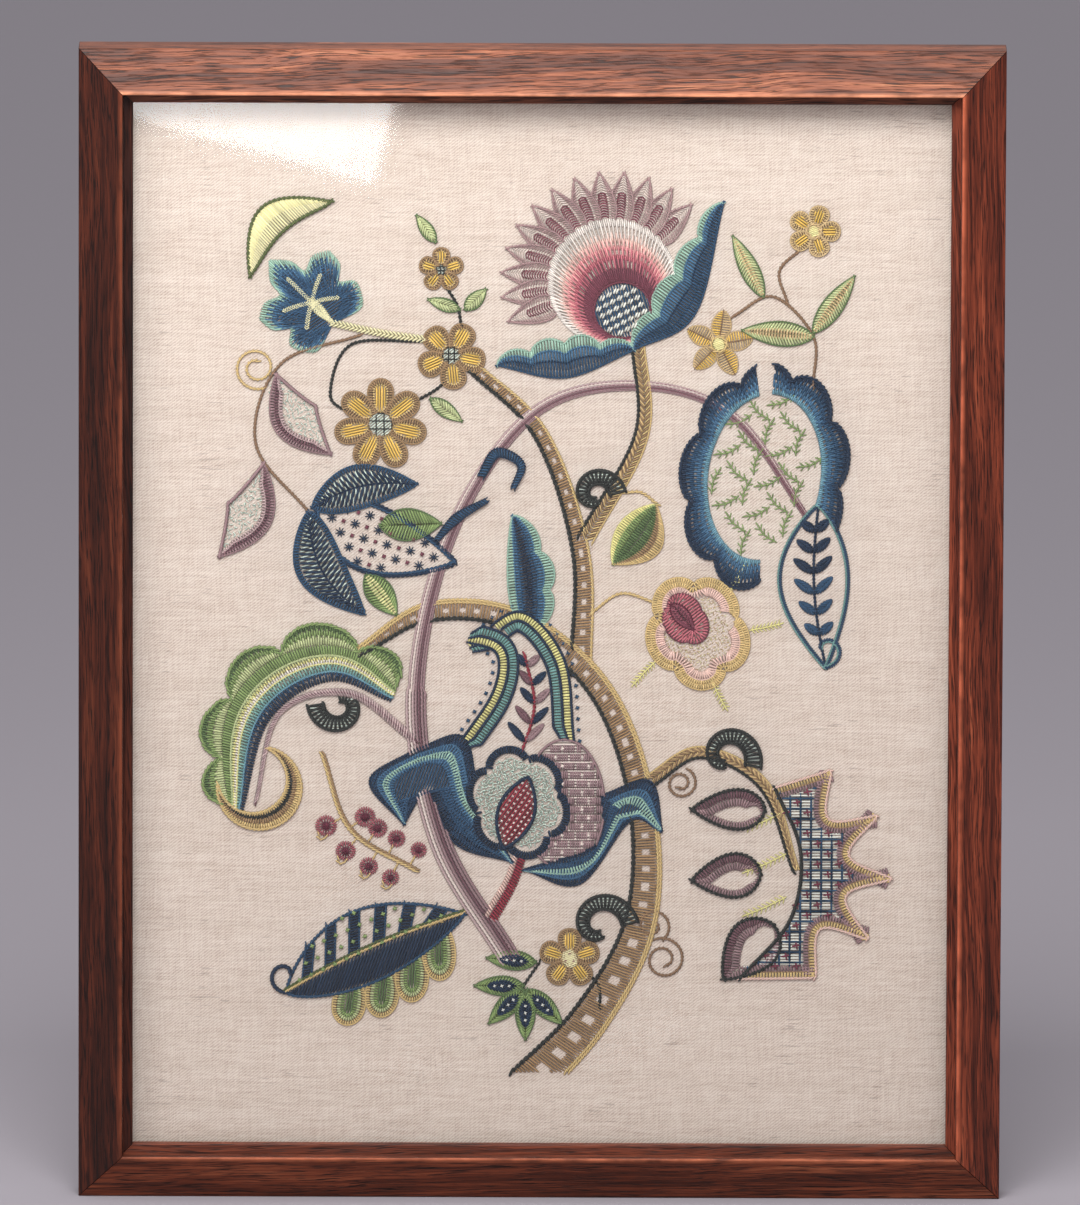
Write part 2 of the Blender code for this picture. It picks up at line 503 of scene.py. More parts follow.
def dyed(name):
    """The wool's own colour: a little paler and greyer than it looks, as the painted strand shade and
    real shadows darken it.
    """
    colour = np.array(srgb(*WOOL[name])[:3])
    colour = colour * min(1.30, 0.94 / colour.max())
    return colour * 0.90 + colour.mean() * 0.10


def wool_material():
    """Soft wool: the colour each stitch carries, painted shade on thread sides turned away from the
    front, a fine fibre bump and a little sheen.
    """
    material, tree, output = new_material("crewel_wool")
    colour = add_node(tree, "ShaderNodeAttribute", attribute_name="wool").outputs["Color"]
    where = add_node(tree, "ShaderNodeTexCoord").outputs["Object"]
    fibres = scaled_noise(tree, where, 2600, 2.0, 0.6)
    light = ramp(tree, fibres, [(0.3, (0.86,) * 3 + (1,)), (0.7, (1.08, 1.08, 1.08, 1))])
    colour = mixed(tree, 1.0, colour, light, "MULTIPLY")
    # Painted shade: the colour is darkened where a thread's surface turns away from the front, standing
    # in for shade at its sides and ends and between strands.
    facing = add_node(tree, "ShaderNodeTexCoord").outputs["Normal"]
    facing = add_node(tree, "ShaderNodeSeparateXYZ", {0: facing}).outputs["Y"]
    painted_strand_shade = ramp(tree, calculated(tree, "MULTIPLY", facing, -1.0), [
        (0.15, (0.38, 0.35, 0.33, 1)), (0.60, (0.88, 0.87, 0.86, 1)), (0.88, (1.0, 1.0, 1.0, 1))])
    colour = mixed(tree, 1.0, colour, painted_strand_shade, "MULTIPLY")
    finish_surface(tree, output, {
        "Base Color": colour, "Roughness": 0.72, "Sheen Weight": 0.12,
        "Specular IOR Level": 0.3}, fibres, 0.00012)
    return material


wool_finish = wool_material()
print("dyed", len(WOOL), "wools")

# %% [markdown]
# ## The stitch as a node tree
# One node tree turns short edges into wool. Each edge runs from the point where the needle
# comes up to the point where it goes down. The tree bends it into a low bridge with steep
# ends, sweeps a flattened four-sided section along it, and gives each stitch its own cell in
# a texture layout. A second tree makes the rows of stem stitch: it steps along a guide line,
# sets a slanted edge at each step, and hands the edges to the first tree.

# %% Node tree: one thread on each edge
THREAD_POINTS = 4
THREAD_SIDES = 4


def field(tree, how, first, second=0.0, third=None):
    """One step of arithmetic in a geometry tree."""
    inputs = {0: first, 1: second}
    if third is not None:
        inputs[2] = third
    return add_node(tree, "ShaderNodeMath", inputs, operation=how).outputs[0]


def named(tree, name, kind="FLOAT"):
    """Reads a value that each stitch carries."""
    node = add_node(tree, "GeometryNodeInputNamedAttribute", {"Name": name}, data_type=kind)
    return next(socket for socket in node.outputs if socket.enabled and socket.name == "Attribute")


def stored(tree, geometry, name, value, kind="FLOAT", domain="POINT"):
    """Writes a value on the geometry under a name."""
    node = add_node(tree, "GeometryNodeStoreNamedAttribute", {"Name": name, "Geometry": geometry},
                    data_type=kind, domain=domain)
    socket = next(entry for entry in node.inputs if entry.enabled and entry.name == "Value")
    tree.links.new(value, socket)
    return node.outputs[0]


def thread_tree():
    """The group that makes a bridge of wool on every edge of a mesh."""
    tree = bpy.data.node_groups.new("wool thread", "GeometryNodeTree")
    tree.interface.new_socket("Geometry", in_out="INPUT", socket_type="NodeSocketGeometry")
    for name in ("Arch", "Flatness", "Dip"):
        tree.interface.new_socket(name, in_out="INPUT", socket_type="NodeSocketFloat")
    tree.interface.new_socket("Geometry", in_out="OUTPUT", socket_type="NodeSocketGeometry")
    given = add_node(tree, "NodeGroupInput").outputs
    index = add_node(tree, "GeometryNodeInputIndex").outputs[0]
    place = field(tree, "FLOOR", field(tree, "DIVIDE", index, 2.0))
    shape = stored(tree, given["Geometry"], "place", place)
    curve = add_node(tree, "GeometryNodeMeshToCurve", {0: shape}).outputs[0]
    curve = add_node(tree, "GeometryNodeResampleCurve", {0: curve, "Count": THREAD_POINTS}).outputs[0]
    along = add_node(tree, "GeometryNodeSplineParameter").outputs["Factor"]
    curve = stored(tree, curve, "along", along)
    along = named(tree, "along")
    tangent = add_node(tree, "GeometryNodeInputTangent").outputs[0]
    reach = add_node(tree, "GeometryNodeSplineLength").outputs[0]
    turn = field(tree, "SINE", field(tree, "MULTIPLY", along, 2 * math.pi))
    slide = field(tree, "MULTIPLY", field(tree, "MULTIPLY", turn, reach), -0.20)
    slide = add_node(tree, "ShaderNodeVectorMath", {0: tangent, "Scale": slide}, operation="SCALE")
    bridge = field(tree, "SINE", field(tree, "MULTIPLY", along, math.pi))
    thick = named(tree, "width")
    rise = field(tree, "MULTIPLY", field(tree, "MULTIPLY", bridge, thick), given["Arch"])
    rise = field(tree, "SUBTRACT", field(tree, "ADD", rise, named(tree, "lift")), given["Dip"])
    lifted = add_node(tree, "ShaderNodeCombineXYZ", {"Z": rise}).outputs[0]
    move = add_node(tree, "ShaderNodeVectorMath", {0: slide.outputs[0], 1: lifted}, operation="ADD")
    curve = add_node(tree, "GeometryNodeSetPosition", {
        0: curve, "Offset": move.outputs[0]}).outputs[0]
    curve = add_node(tree, "GeometryNodeSetCurveNormal", {0: curve}, mode="Z_UP").outputs[0]
    taper = field(tree, "MULTIPLY_ADD", bridge, 0.45, 0.62)
    radius = field(tree, "MULTIPLY", field(tree, "MULTIPLY", thick, 0.5), taper)
    curve = add_node(tree, "GeometryNodeSetCurveRadius", {0: curve, "Radius": radius}).outputs[0]
    ring = add_node(tree, "GeometryNodeCurvePrimitiveCircle", {
        "Resolution": THREAD_SIDES, "Radius": 1.0}).outputs[0]
    ring_index = add_node(tree, "GeometryNodeInputIndex").outputs[0]
    ring = stored(tree, ring, "round", field(tree, "DIVIDE", ring_index, float(THREAD_SIDES)))
    flat = add_node(tree, "ShaderNodeCombineXYZ", {
        "X": given["Flatness"], "Y": 1.0, "Z": 1.0}).outputs[0]
    ring = add_node(tree, "GeometryNodeTransform", {0: ring, "Scale": flat}).outputs[0]
    sweep = add_node(tree, "GeometryNodeCurveToMesh", {0: curve, "Profile Curve": ring})
    sweep.inputs["Fill Caps"].default_value = True
    if "Scale" in sweep.inputs:
        tree.links.new(add_node(tree, "GeometryNodeInputRadius").outputs[0], sweep.inputs["Scale"])
    shape = sweep.outputs[0]
    size = add_node(tree, "GeometryNodeAttributeDomainSize", {0: given["Geometry"]}, component="MESH")
    number = field(tree, "DIVIDE", size.outputs["Point Count"], 2.0)
    columns = field(tree, "CEIL", field(tree, "SQRT", number))
    spin = field(tree, "MULTIPLY", named(tree, "round"), 2 * math.pi)
    place = named(tree, "place")
    cell_u = field(tree, "MULTIPLY_ADD", named(tree, "along"), 0.8, 0.1)
    cell_u = field(tree, "MULTIPLY_ADD", field(tree, "COSINE", spin), 0.06, cell_u)
    cell_v = field(tree, "MULTIPLY_ADD", field(tree, "SINE", spin), 0.42, 0.5)
    column = field(tree, "MODULO", place, columns)
    row = field(tree, "FLOOR", field(tree, "DIVIDE", place, columns))
    layout = add_node(tree, "ShaderNodeCombineXYZ", {
        "X": field(tree, "DIVIDE", field(tree, "ADD", column, cell_u), columns),
        "Y": field(tree, "DIVIDE", field(tree, "ADD", row, cell_v), columns)}).outputs[0]
    shape = stored(tree, shape, "OFBake", layout, "FLOAT2", "CORNER")
    shape = add_node(tree, "GeometryNodeSetShadeSmooth", {0: shape}).outputs[0]
    shape = add_node(tree, "GeometryNodeRealizeInstances", {0: shape}).outputs[0]
    finish = add_node(tree, "GeometryNodeSetMaterial", {0: shape})
    finish.inputs["Material"].default_value = wool_finish
    add_node(tree, "NodeGroupOutput", {0: finish.outputs[0]})
    return tree


def row_tree(thread_group):
    """The group that steps along guide lines and sets a slanted stitch at each step."""
    tree = bpy.data.node_groups.new("wool rows", "GeometryNodeTree")
    tree.interface.new_socket("Geometry", in_out="INPUT", socket_type="NodeSocketGeometry")
    for name in ("Arch", "Flatness", "Dip"):
        tree.interface.new_socket(name, in_out="INPUT", socket_type="NodeSocketFloat")
    tree.interface.new_socket("Geometry", in_out="OUTPUT", socket_type="NodeSocketGeometry")
    given = add_node(tree, "NodeGroupInput").outputs
    curve = add_node(tree, "GeometryNodeMeshToCurve", {0: given["Geometry"]}).outputs[0]
    steps = add_node(tree, "GeometryNodeResampleCurve", {
        0: curve, "Length": named(tree, "pitch")}, mode="LENGTH").outputs[0]
    tangent = add_node(tree, "GeometryNodeInputTangent").outputs[0]
    steps = stored(tree, steps, "heading", tangent, "FLOAT_VECTOR")
    points = add_node(tree, "GeometryNodeCurveToPoints", {0: steps}, mode="EVALUATED").outputs[0]
    slanted = add_node(tree, "ShaderNodeVectorRotate", {
        "Vector": named(tree, "heading", "FLOAT_VECTOR"), "Axis": (0, 0, 1),
        "Angle": named(tree, "slant")}, rotation_type="AXIS_ANGLE").outputs[0]
    aligned = add_node(tree, "FunctionNodeAlignRotationToVector", {"Vector": slanted}, axis="X")
    edge = add_node(tree, "GeometryNodeMeshLine", {
        "Count": 2, "Start Location": (-0.5, 0, 0), "Offset": (1, 0, 0)}).outputs[0]
    scale = add_node(tree, "ShaderNodeCombineXYZ", {
        "X": named(tree, "reach"), "Y": 1.0, "Z": 1.0}).outputs[0]
    stitches = add_node(tree, "GeometryNodeInstanceOnPoints", {
        "Points": points, "Instance": edge, "Rotation": aligned.outputs[0],
        "Scale": scale}).outputs[0]
    stitches = add_node(tree, "GeometryNodeRealizeInstances", {0: stitches}).outputs[0]
    threads = add_node(tree, "GeometryNodeGroup", node_tree=thread_group)
    tree.links.new(stitches, threads.inputs["Geometry"])
    for name in ("Arch", "Flatness", "Dip"):
        tree.links.new(given[name], threads.inputs[name])
    add_node(tree, "NodeGroupOutput", {0: threads.outputs[0]})
    return tree


laid_group = thread_tree()
rows_group = row_tree(laid_group)
print("built the node trees:", laid_group.name, "and", rows_group.name)

# %% [markdown]
# ## Drawing the design
# The design is drawn flat, in millimetres from the middle of the linen: u to the right and v
# upwards. A motif is a few listed points joined by a smooth line, and the same point
# given twice makes a sharp corner. All later steps work on such lines: shift them sideways,
# lay stitches between two of them, or fill the shape they enclose.

# %% Lines and shapes
dice = np.random.default_rng(7)


def spaced(path, step=0.8, count=None):
    """The same line with evenly spaced points."""
    along = np.concatenate([[0], np.cumsum(np.hypot(*np.diff(path, axis=0).T))])
    count = count or max(2, round(along[-1] / step) + 1)
    where = np.linspace(0, along[-1], count)
    return np.stack([np.interp(where, along, path[:, axis]) for axis in (0, 1)], 1)


def bend(run):
    """A smooth curve through the points of one run."""
    run = np.array(run, float)
    if len(run) < 3:
        return run
    line = np.vstack([2 * run[0] - run[1], run, 2 * run[-1] - run[-2]])
    t = np.linspace(0, 1, 10, endpoint=False)[:, None]
    parts = []
    for a, b, c, d in zip(line, line[1:], line[2:], line[3:]):
        cubic = (3 * b - a - 3 * c + d) * t ** 3
        parts.append(0.5 * (2 * b + (c - a) * t + (2 * a - 5 * b + 4 * c - d) * t ** 2 + cubic))
    return np.vstack(parts + [run[-1:]])


def smooth(points, step=0.8):
    """A smooth line through points; a point given twice is a sharp corner."""
    runs = [[points[0]]]
    for before, point in zip(points, points[1:]):
        if point == before:
            runs.append([point])
        else:
            runs[-1].append(point)
    return spaced(np.vstack([bend(run) for run in runs if len(run) > 1]), step)


def offset(path, distance):
    """The line moved to its left by a distance, or by one distance for each point."""
    along = np.gradient(path, axis=0)
    along /= np.maximum(np.hypot(*along.T), 1e-6)[:, None]
    left = np.stack([-along[:, 1], along[:, 0]], 1)
    return path + left * np.reshape(distance, (-1, 1))


def heading_of(angle):
    """The direction of an angle in degrees."""
    return np.array([math.cos(math.radians(angle)), math.sin(math.radians(angle))])


def side_of(path, point):
    """1 if the point is on the left of the line, otherwise -1."""
    gaps = [np.hypot(*(offset(path, side) - point).T).mean() for side in (1, -1)]
    return 1 if gaps[0] < gaps[1] else -1


def circle(centre, radius, start=0, end=360, step=0.8):
    """An arc, from one angle in degrees to another."""
    count = max(5, round(abs(math.radians(end - start)) * radius / step) + 1)
    angle = np.radians(np.linspace(start, end, count))
    return np.stack([centre[0] + radius * np.cos(angle), centre[1] + radius * np.sin(angle)], 1)


def inside(polygon, points):
    """Which of the points lie inside a closed shape."""
    a = np.asarray(polygon, float)
    b = np.roll(a, -1, axis=0)
    u, v = np.asarray(points, float).T[:, :, None]
    crosses = (a[:, 1] > v) != (b[:, 1] > v)
    rise = np.where(b[:, 1] == a[:, 1], 1e-9, b[:, 1] - a[:, 1])
    at = a[:, 0] + (v - a[:, 1]) * (b[:, 0] - a[:, 0]) / rise
    return (crosses & (u < at)).sum(1) % 2 == 1


print("the lines are drawn in mm on linen of", round(LINEN_WIDTH / MM), "by", round(LINEN_HEIGHT / MM))


# %% [markdown]
# ## Laying stitches
# Two lists hold the work: threads laid from point to point, and guide lines for rows of stem
# stitch. Where one motif grows over another, the stitches under it are left out, as an
# embroiderer leaves them out.

# %% Lists of threads and guides
threads = []
guides = []
current = {"piece": "wool", "lift": 0.0}


def begin(piece, lift=0.0):
    """Names the piece that the next stitches belong to, and how high they lie."""
    current.update(piece=piece, lift=lift)


def lay(starts, ends, wool, width=1.2, lift=0.0):
    """Lays one thread from each start to each end."""
    ends_of = np.stack([np.atleast_2d(starts), np.atleast_2d(ends)], 1).astype(float)
    if len(ends_of) == 0:
        return
    tint = 1 + dice.normal(0, 0.11, (len(ends_of), 1))
    colour = dyed(wool) * np.clip(tint, 0.75, 1.3)
    threads.append({"piece": current["piece"], "ends": ends_of, "wool": colour,
                    "width": np.full(len(ends_of), width * 1.0),
                    "lift": np.full(len(ends_of), current["lift"] + lift)})


def rope(path, wool, width=1.0, pitch=None, slant=0.34, lift=0.1):
    """A row of stem stitch along a line."""
    path = spaced(np.asarray(path, float), 0.9)
    named_at = np.linspace(0, 1, np.size(width))
    width = np.interp(np.linspace(0, 1, len(path)), named_at, np.ravel(width))
    pitch = pitch or 1.6 * width.max()
    guides.append({"piece": current["piece"], "path": path,
                   "wool": dyed(wool), "width": width * 1.15, "pitch": pitch,
                   "slant": slant, "reach": pitch * 1.6, "lift": current["lift"] + lift})


def braid(path, wool, width=2.4, lift=0.1):
    """Two mirrored rows of slanted stitches, which read as a plait of chain stitch."""
    for side in (1, -1):
        rope(offset(path, side * width * 0.26), wool, width * 0.48, width * 0.62, -0.7 * side, lift)


def cover(polygon):
    """Leaves out or shortens earlier stitches inside a shape that is worked over them."""
    polygon = np.asarray(polygon, float)
    low, high = polygon.min(0), polygon.max(0)
    share = np.linspace(0, 1, 13)[:, None]
    for group in threads:
        ends = group["ends"]
        near = ((ends.max(1) > low) & (ends.min(1) < high)).all(1)
        if not near.any():
            continue
        spots = ends[near, :1] * (1 - share) + ends[near, 1:] * share
        free = ~inside(polygon, spots.reshape(-1, 2)).reshape(-1, 13)
        first, last = free.argmax(1), 12 - free[:, ::-1].argmax(1)
        rows = np.arange(len(free))
        ends[near] = np.stack([spots[rows, first], spots[rows, last]], 1)
        keep = np.ones(len(ends), bool)
        keep[near] = (last - first > 2) & free[rows, (first + last) // 2]
        for key in ("ends", "wool", "width", "lift"):
            group[key] = group[key][keep]
    kept = []
    for guide in guides:
        open_part = ~inside(polygon, guide["path"])
        breaks = np.flatnonzero(np.diff(open_part.astype(int))) + 1
        for run in np.split(np.arange(len(open_part)), breaks):
            if open_part[run[0]] and len(run) > 1:
                kept.append({**guide, "path": guide["path"][run], "width": guide["width"][run]})
    guides[:] = kept


def told(motif):
    """Says how much work has been laid so far."""
    laid = sum(len(group["ends"]) for group in threads)
    print(motif, "done;", laid, "threads and", len(guides), "rows so far")


told("empty linen")

# %% [markdown]
# ## The stitches
# Satin covers the space between two lines. Shading is satin in rings whose ends alternate
# long and short. Bands are satin rows side by side along an edge, each with a raised rim, as
# in buttonhole stitch. A hatch lays threads across a shape and cuts them at its edge, and
# the trellises and solid patches are made with it.

# %% Satin, shading, bands and leaves
def inset(path, depth, inward):
    """The line moved inwards, without the loops that form at its corners."""
    moved = offset(path, side_of(path, inward) * depth)
    gaps = np.hypot(*(moved[:, None] - path[None]).transpose(2, 0, 1)).min(1)
    return moved[gaps > depth * 0.93]


def paired(left, right, share, pitch):
    """Points on two lines that face each other; their spacing is right at a share between."""
    if len(left) != len(right):
        left, right = spaced(left, count=len(left)), spaced(right, count=len(left))
    line = left + (right - left) * share
    along = np.concatenate([[0], np.cumsum(np.hypot(*np.diff(line, axis=0).T))])
    where = np.linspace(0, along[-1], max(3, round(along[-1] / pitch) + 1))
    return [np.stack([np.interp(where, along, edge[:, axis]) for axis in (0, 1)], 1)
            for edge in (left, right)]


def satin(left, right, wool, pitch=1.5, width=1.8, slip=0, lift=0.0):
    """Threads from one line to another; slip slants them by that many threads."""
    reach = [np.hypot(*np.diff(line, axis=0).T).sum() for line in (left, right)]
    a, b = paired(left, right, 0.15 if reach[0] > reach[1] else 0.85, pitch)
    count = len(a)
    lay(a[:count - slip], b[slip:], wool, width, lift)


def shaded(outer, inner, wools, cuts, pitch=1.5, ragged=0.35, width=1.75):
    """Long and short stitch in rings from the outer line to the inner one."""
    for number, wool in enumerate(wools):
        low, high = cuts[number], cuts[number + 1]
        a, b = paired(outer, inner, low + (high - low) * 0.3, pitch)
        count = len(a)
        comb = (np.arange(count) % 2)[:, None] * ragged * (high - low)
        start = low - comb * (number > 0)
        stop = high - comb * (number < len(wools) - 1)
        lay(a + (b - a) * start, a + (b - a) * np.minimum(stop + 0.03, 1), wool, width,
            0.04 * number)


def tapered(path, depth, blunt=0.25):
    """A depth for each point of a line that narrows towards both ends."""
    t = np.linspace(0, 1, len(path))
    return depth * np.clip(np.minimum(t, 1 - t) * 6 + blunt, 0, 1)


def bands(path, steps, inward, rim=True, taper=True, pitch=1.5, over=False):
    """Rows of satin along a line, towards a point; steps lists (depth, wool)."""
    side = side_of(path, inward)
    reach = np.zeros(len(path))
    if over:
        depth = sum(step[0] for step in steps)
        depth = tapered(path, depth) if taper else np.full(len(path), depth)
        cover(np.vstack([path, offset(path, side * depth)[::-1]]))
    for depth, wool in steps:
        depth = tapered(path, depth) if taper else np.full(len(path), depth * 1.0)
        near = offset(path, side * reach)
        far = offset(path, side * (reach + depth))
        satin(near, far, wool, pitch)
        if rim:
            rope(near, wool, 0.9, 1.5, 0.2, 0.45)
        reach = reach + depth


SHORTEST = 0.4


def hatch(polygon, angle, pitch, wool, width=1.8, lift=0.0):
    """Parallel threads across a shape, cut off at its edge."""
    turn = np.radians(angle)
    spin = np.array([[np.cos(turn), np.sin(turn)], [-np.sin(turn), np.cos(turn)]])
    shape = np.asarray(polygon, float) @ spin.T
    after = np.roll(shape, -1, axis=0)
    starts, ends = [], []
    first = math.ceil(shape[:, 1].min() / pitch)
    for number in range(first, int(shape[:, 1].max() / pitch) + 1):
        level = (number + 0.013) * pitch
        hits = (shape[:, 1] > level) != (after[:, 1] > level)
        a, b = shape[hits], after[hits]
        at = np.sort(a[:, 0] + (level - a[:, 1]) * (b[:, 0] - a[:, 0]) / (b[:, 1] - a[:, 1]))
        for low, high in zip(at[::2], at[1::2]):
            if high - low >= SHORTEST:
                starts.append((low, level))
                ends.append((high, level))
    if starts:
        lay(np.array(starts) @ spin, np.array(ends) @ spin, wool, width, lift)


def cells(polygon, angle, pitch, shift=0.5):
    """The middles of the cells of a square net that lie inside a shape."""
    turn = np.radians(angle)
    spin = np.array([[np.cos(turn), np.sin(turn)], [-np.sin(turn), np.cos(turn)]])
    shape = np.asarray(polygon, float) @ spin.T
    low = np.floor(shape.min(0) / pitch).astype(int)
    high = np.ceil(shape.max(0) / pitch).astype(int)
    net = [(a, b) for a in range(low[0], high[0]) for b in range(low[1], high[1])]
    places = (np.array(net) + shift) * pitch @ spin
    keep = inside(polygon, places)
    return places[keep], np.array(net)[keep]


def leaf(base, tip, width, fill, outline=None, core=None):
    """A pointed leaf in fishbone stitch, with an outline and a solid core if named."""
    base, tip = np.array(base, float), np.array(tip, float)
    t = np.linspace(0, 1, 32)[:, None]
    axis = tip - base
    left = np.array([-axis[1], axis[0]]) / np.hypot(*axis)
    rib = base + axis * t
    half = width / 2 * np.sin(math.pi * t ** 0.85) ** 0.8
    for side in (1, -1):
        edge = rib + left * half * side
        satin(edge, rib, fill, slip=2)
        if width > 8:
            rope(rib, "olive" if fill == "green" else fill, 0.6, lift=0.45)
        if core:
            satin(rib + left * half * side * 0.42, rib, core, lift=0.3)
        if outline:
            rope(edge, outline, 1.1, 1.5, 0.2, 0.4)


def knots(places, wool, size=1.5, lift=0.2):
    """French knots: two short thick stitches crossed at each place."""
    places = np.atleast_2d(places).astype(float)
    for turn in (0.4, 0.4 + math.pi / 2):
        arm = np.array([math.cos(turn), math.sin(turn)]) * size * 0.42
        lay(places - arm, places + arm, wool, size * 0.72, lift)


def stars(places, wool, size=3.4, rays=4, width=0.62, lift=0.15):
    """Small stars: straight stitches crossed at each place."""
    places = np.atleast_2d(places).astype(float)
    for number in range(rays):
        turn = math.pi * number / rays + 0.2
        arm = np.array([math.cos(turn), math.sin(turn)]) * size / 2
        lay(places - arm, places + arm, wool, width, lift)


def seeding(polygon, spacing, wool, length=1.6, width=0.7, lift=0.05):
    """Short stitches scattered evenly at all angles."""
    places, _ = cells(polygon, 20, spacing)
    places = places + dice.uniform(-0.3, 0.3, places.shape) * spacing
    turn = dice.uniform(0, math.pi, len(places))
    arm = np.stack([np.cos(turn), np.sin(turn)], 1) * length / 2
    lay(places - arm, places + arm, wool, width, lift)


def twig(points, wool, leaflets=3.0, every=2.6, width=0.8, angle=0.9):
    """A thin stem with pairs of small straight stitches along it."""
    path = smooth(points)
    rope(path, wool, width, 1.6, 0.15)
    steps = spaced(path, every)
    along = np.gradient(steps, axis=0)
    heading = np.arctan2(along[:, 1], along[:, 0])
    for side in (1, -1):
        turn = heading + side * angle
        arm = np.stack([np.cos(turn), np.sin(turn)], 1) * leaflets
        lay(steps[:-1], steps[:-1] + arm[:-1], wool, width)


def nearest_of_line(outline, a, b):
    """For each point of an outline, the nearest point of the straight line from a to b."""
    a, b = np.array(a, float), np.array(b, float)
    share = np.clip((outline - a) @ (b - a) / max((b - a) @ (b - a), 1e-9), 0, 1)
    return a + share[:, None] * (b - a)


def oval(hub, angle, half_long, half_wide, tones, cuts, swell=0.22):
    """An egg-shaped petal in rings of satin; its wide end points to an angle in degrees."""
    heading = heading_of(angle)
    left = np.array([-heading[1], heading[0]])
    around = np.linspace(math.pi, -math.pi, 44)[:, None]
    wide = half_wide * np.sin(around) * (1 + swell * np.cos(around))
    rim = np.array(hub, float) + heading * half_long * np.cos(around) + left * wide
    core = nearest_of_line(rim, hub - heading * half_long * 0.5,
                           hub + heading * half_long * 0.35)
    cover(rim)
    for low, high, wool in list(zip(cuts, cuts[1:], tones))[:-1]:
        satin(rim + (core - rim) * low, rim + (core - rim) * high, wool, 1.35, 1.6)
    hatch(rim + (core - rim) * cuts[-2], angle, 1.3, tones[-1], 1.6, 0.1)
    rope(rim + (core - rim) * cuts[1], "line", 0.6, lift=0.6)
    rope(rim, tones[0], 1.0, 1.4, 0.2, 0.4)


def petals(centre, radius, angles, tones, half_wide):
    """Petals round a centre."""
    for angle in angles:
        oval(np.array(centre) + heading_of(angle) * radius * 0.59, angle, radius * 0.41, half_wide,
             tones, (0, 0.36, 0.52, 0.98))


print("the stitches are ready")

# %% [markdown]
# ## Shapes to draw with
# Every motif is drawn from a few plain shapes: a leaf blade, a ring of round lobes, a line of
# scallops, a curl and a crescent. Each has a formula and a handful of round numbers.

# %% Define the drawing shapes
def lobed(centre, half_wide, half_high, count, depth, tilt=0, start=0.0, end=1.0):
    """Round lobes along an oval, or along a part of it."""
    t = np.linspace(start, end, 320)
    swell = 1 - depth + depth * np.abs(np.sin(math.pi * count * t)) ** 0.6
    across, up = heading_of(tilt), heading_of(tilt + 90)
    return (np.array(centre) + (half_wide * np.cos(2 * math.pi * t) * swell)[:, None] * across
            + (half_high * np.sin(2 * math.pi * t) * swell)[:, None] * up)


def scalloped(path, count, depth):
    """A line carried out to its left in round scallops."""
    return offset(path, depth * np.abs(np.sin(math.pi * np.linspace(0, count, len(path)))) ** 0.6)


def curl(start, heading, turns, radius, hand=1):
    """A line that winds inwards from a start; hand 1 turns to the left."""
    t = np.linspace(0, 1, 90)
    angle = np.radians(heading - 90 * hand + hand * 360 * turns * t)
    spokes = np.stack([np.cos(angle), np.sin(angle)], 1)
    return np.array(start) - radius * spokes[0] + (radius * (1 - 0.7 * t))[:, None] * spokes


def blade(base, tip, wide, bow=0.0, belly=1.0):
    """The left edge, the right edge and the rib of a pointed leaf."""
    t = np.linspace(0, 1, 80)[:, None]
    base, tip = np.array(base, float), np.array(tip, float)
    run = tip - base
    left = np.array([-run[1], run[0]]) / np.hypot(*run)
    rib = base + run * t + left * bow * np.sin(math.pi * t)
    swell = left * wide / 2 * np.sin(math.pi * t ** belly) ** 0.8
    return rib + swell, rib - swell, rib


def crescent(hub, radius, start, end, depth):
    """The outer and inner edges of a crescent along an arc."""
    outer = circle(hub, radius, start, end)
    t = np.linspace(0, 1, len(outer))
    return outer, offset(outer, 0.4 + depth * np.sin(math.pi * t))


def closed(first, second):
    """One outline from two edges that start and end together."""
    return np.vstack([first, second[::-1]])


print("the drawing shapes are ready")


# %% [markdown]
# ## Trunk, braided stems and the mauve stem
# The trunk is laid straight across in brown wool, with small squares of linen left open along
# it. A charcoal row runs along its inner edge and a gold row along its outer edge. The mauve
# stem is seven rows of stem stitch side by side. The thinner stems are plaited.

# %% Work the stems
def sized(points, widths, path):
    """A width for each point of a line, read between widths named at its drawn points."""
    steps = np.hypot(*np.diff(np.array(points, float), axis=0).T)
    along = np.concatenate([[0], np.cumsum(steps)])
    named_at = np.linspace(0, len(along) - 1, len(widths)).round().astype(int)
    return np.interp(np.linspace(0, along[-1], len(path)), along[named_at], widths)

FOOT = -228


def trunk(points, widths, gold_rows=1):
    """Brown satin across the stem, with open squares, a charcoal row and gold rows."""
    path = smooth(points)
    width = sized(points, widths, path)
    outer = offset(path, width / 2)
    inner = offset(path, -width / 2)
    cover(np.vstack([outer, inner[::-1]]))
    count = round(np.hypot(*np.diff(path, axis=0).T).sum() / 1.4)
    a = spaced(outer, count=count)
    b = spaced(inner, count=count)
    across = np.hypot(*(a - b).T)
    step = np.cumsum(1.4 / np.clip(across * 0.75, 8.0, 11.5))
    gap = (step % 1) < 0.36
    for start, end in ((a[~gap], b[~gap]), (a[gap], (a + (b - a) * 0.32)[gap]),
                       ((a + (b - a) * 0.66)[gap], b[gap])):
        above = (start[:, 1] > FOOT) | (end[:, 1] > FOOT)
        start, end = start[above], end[above]
        drop = np.where(start[:, 1] == end[:, 1], 1e-9, end[:, 1] - start[:, 1])
        cut = start + (end - start) * ((FOOT - start[:, 1]) / drop)[:, None]
        lay(np.where(start[:, 1:] < FOOT, cut, start), np.where(end[:, 1:] < FOOT, cut, end),
            "trunk", 1.5)
    for row in range(gold_rows):
        line = offset(outer, 0.4 + 1.3 * row)
        rope(line[line[:, 1] > FOOT], "gold", 1.3)
    line = offset(inner, -0.4)
    rope(line[line[:, 1] > FOOT], "charcoal", 1.8)

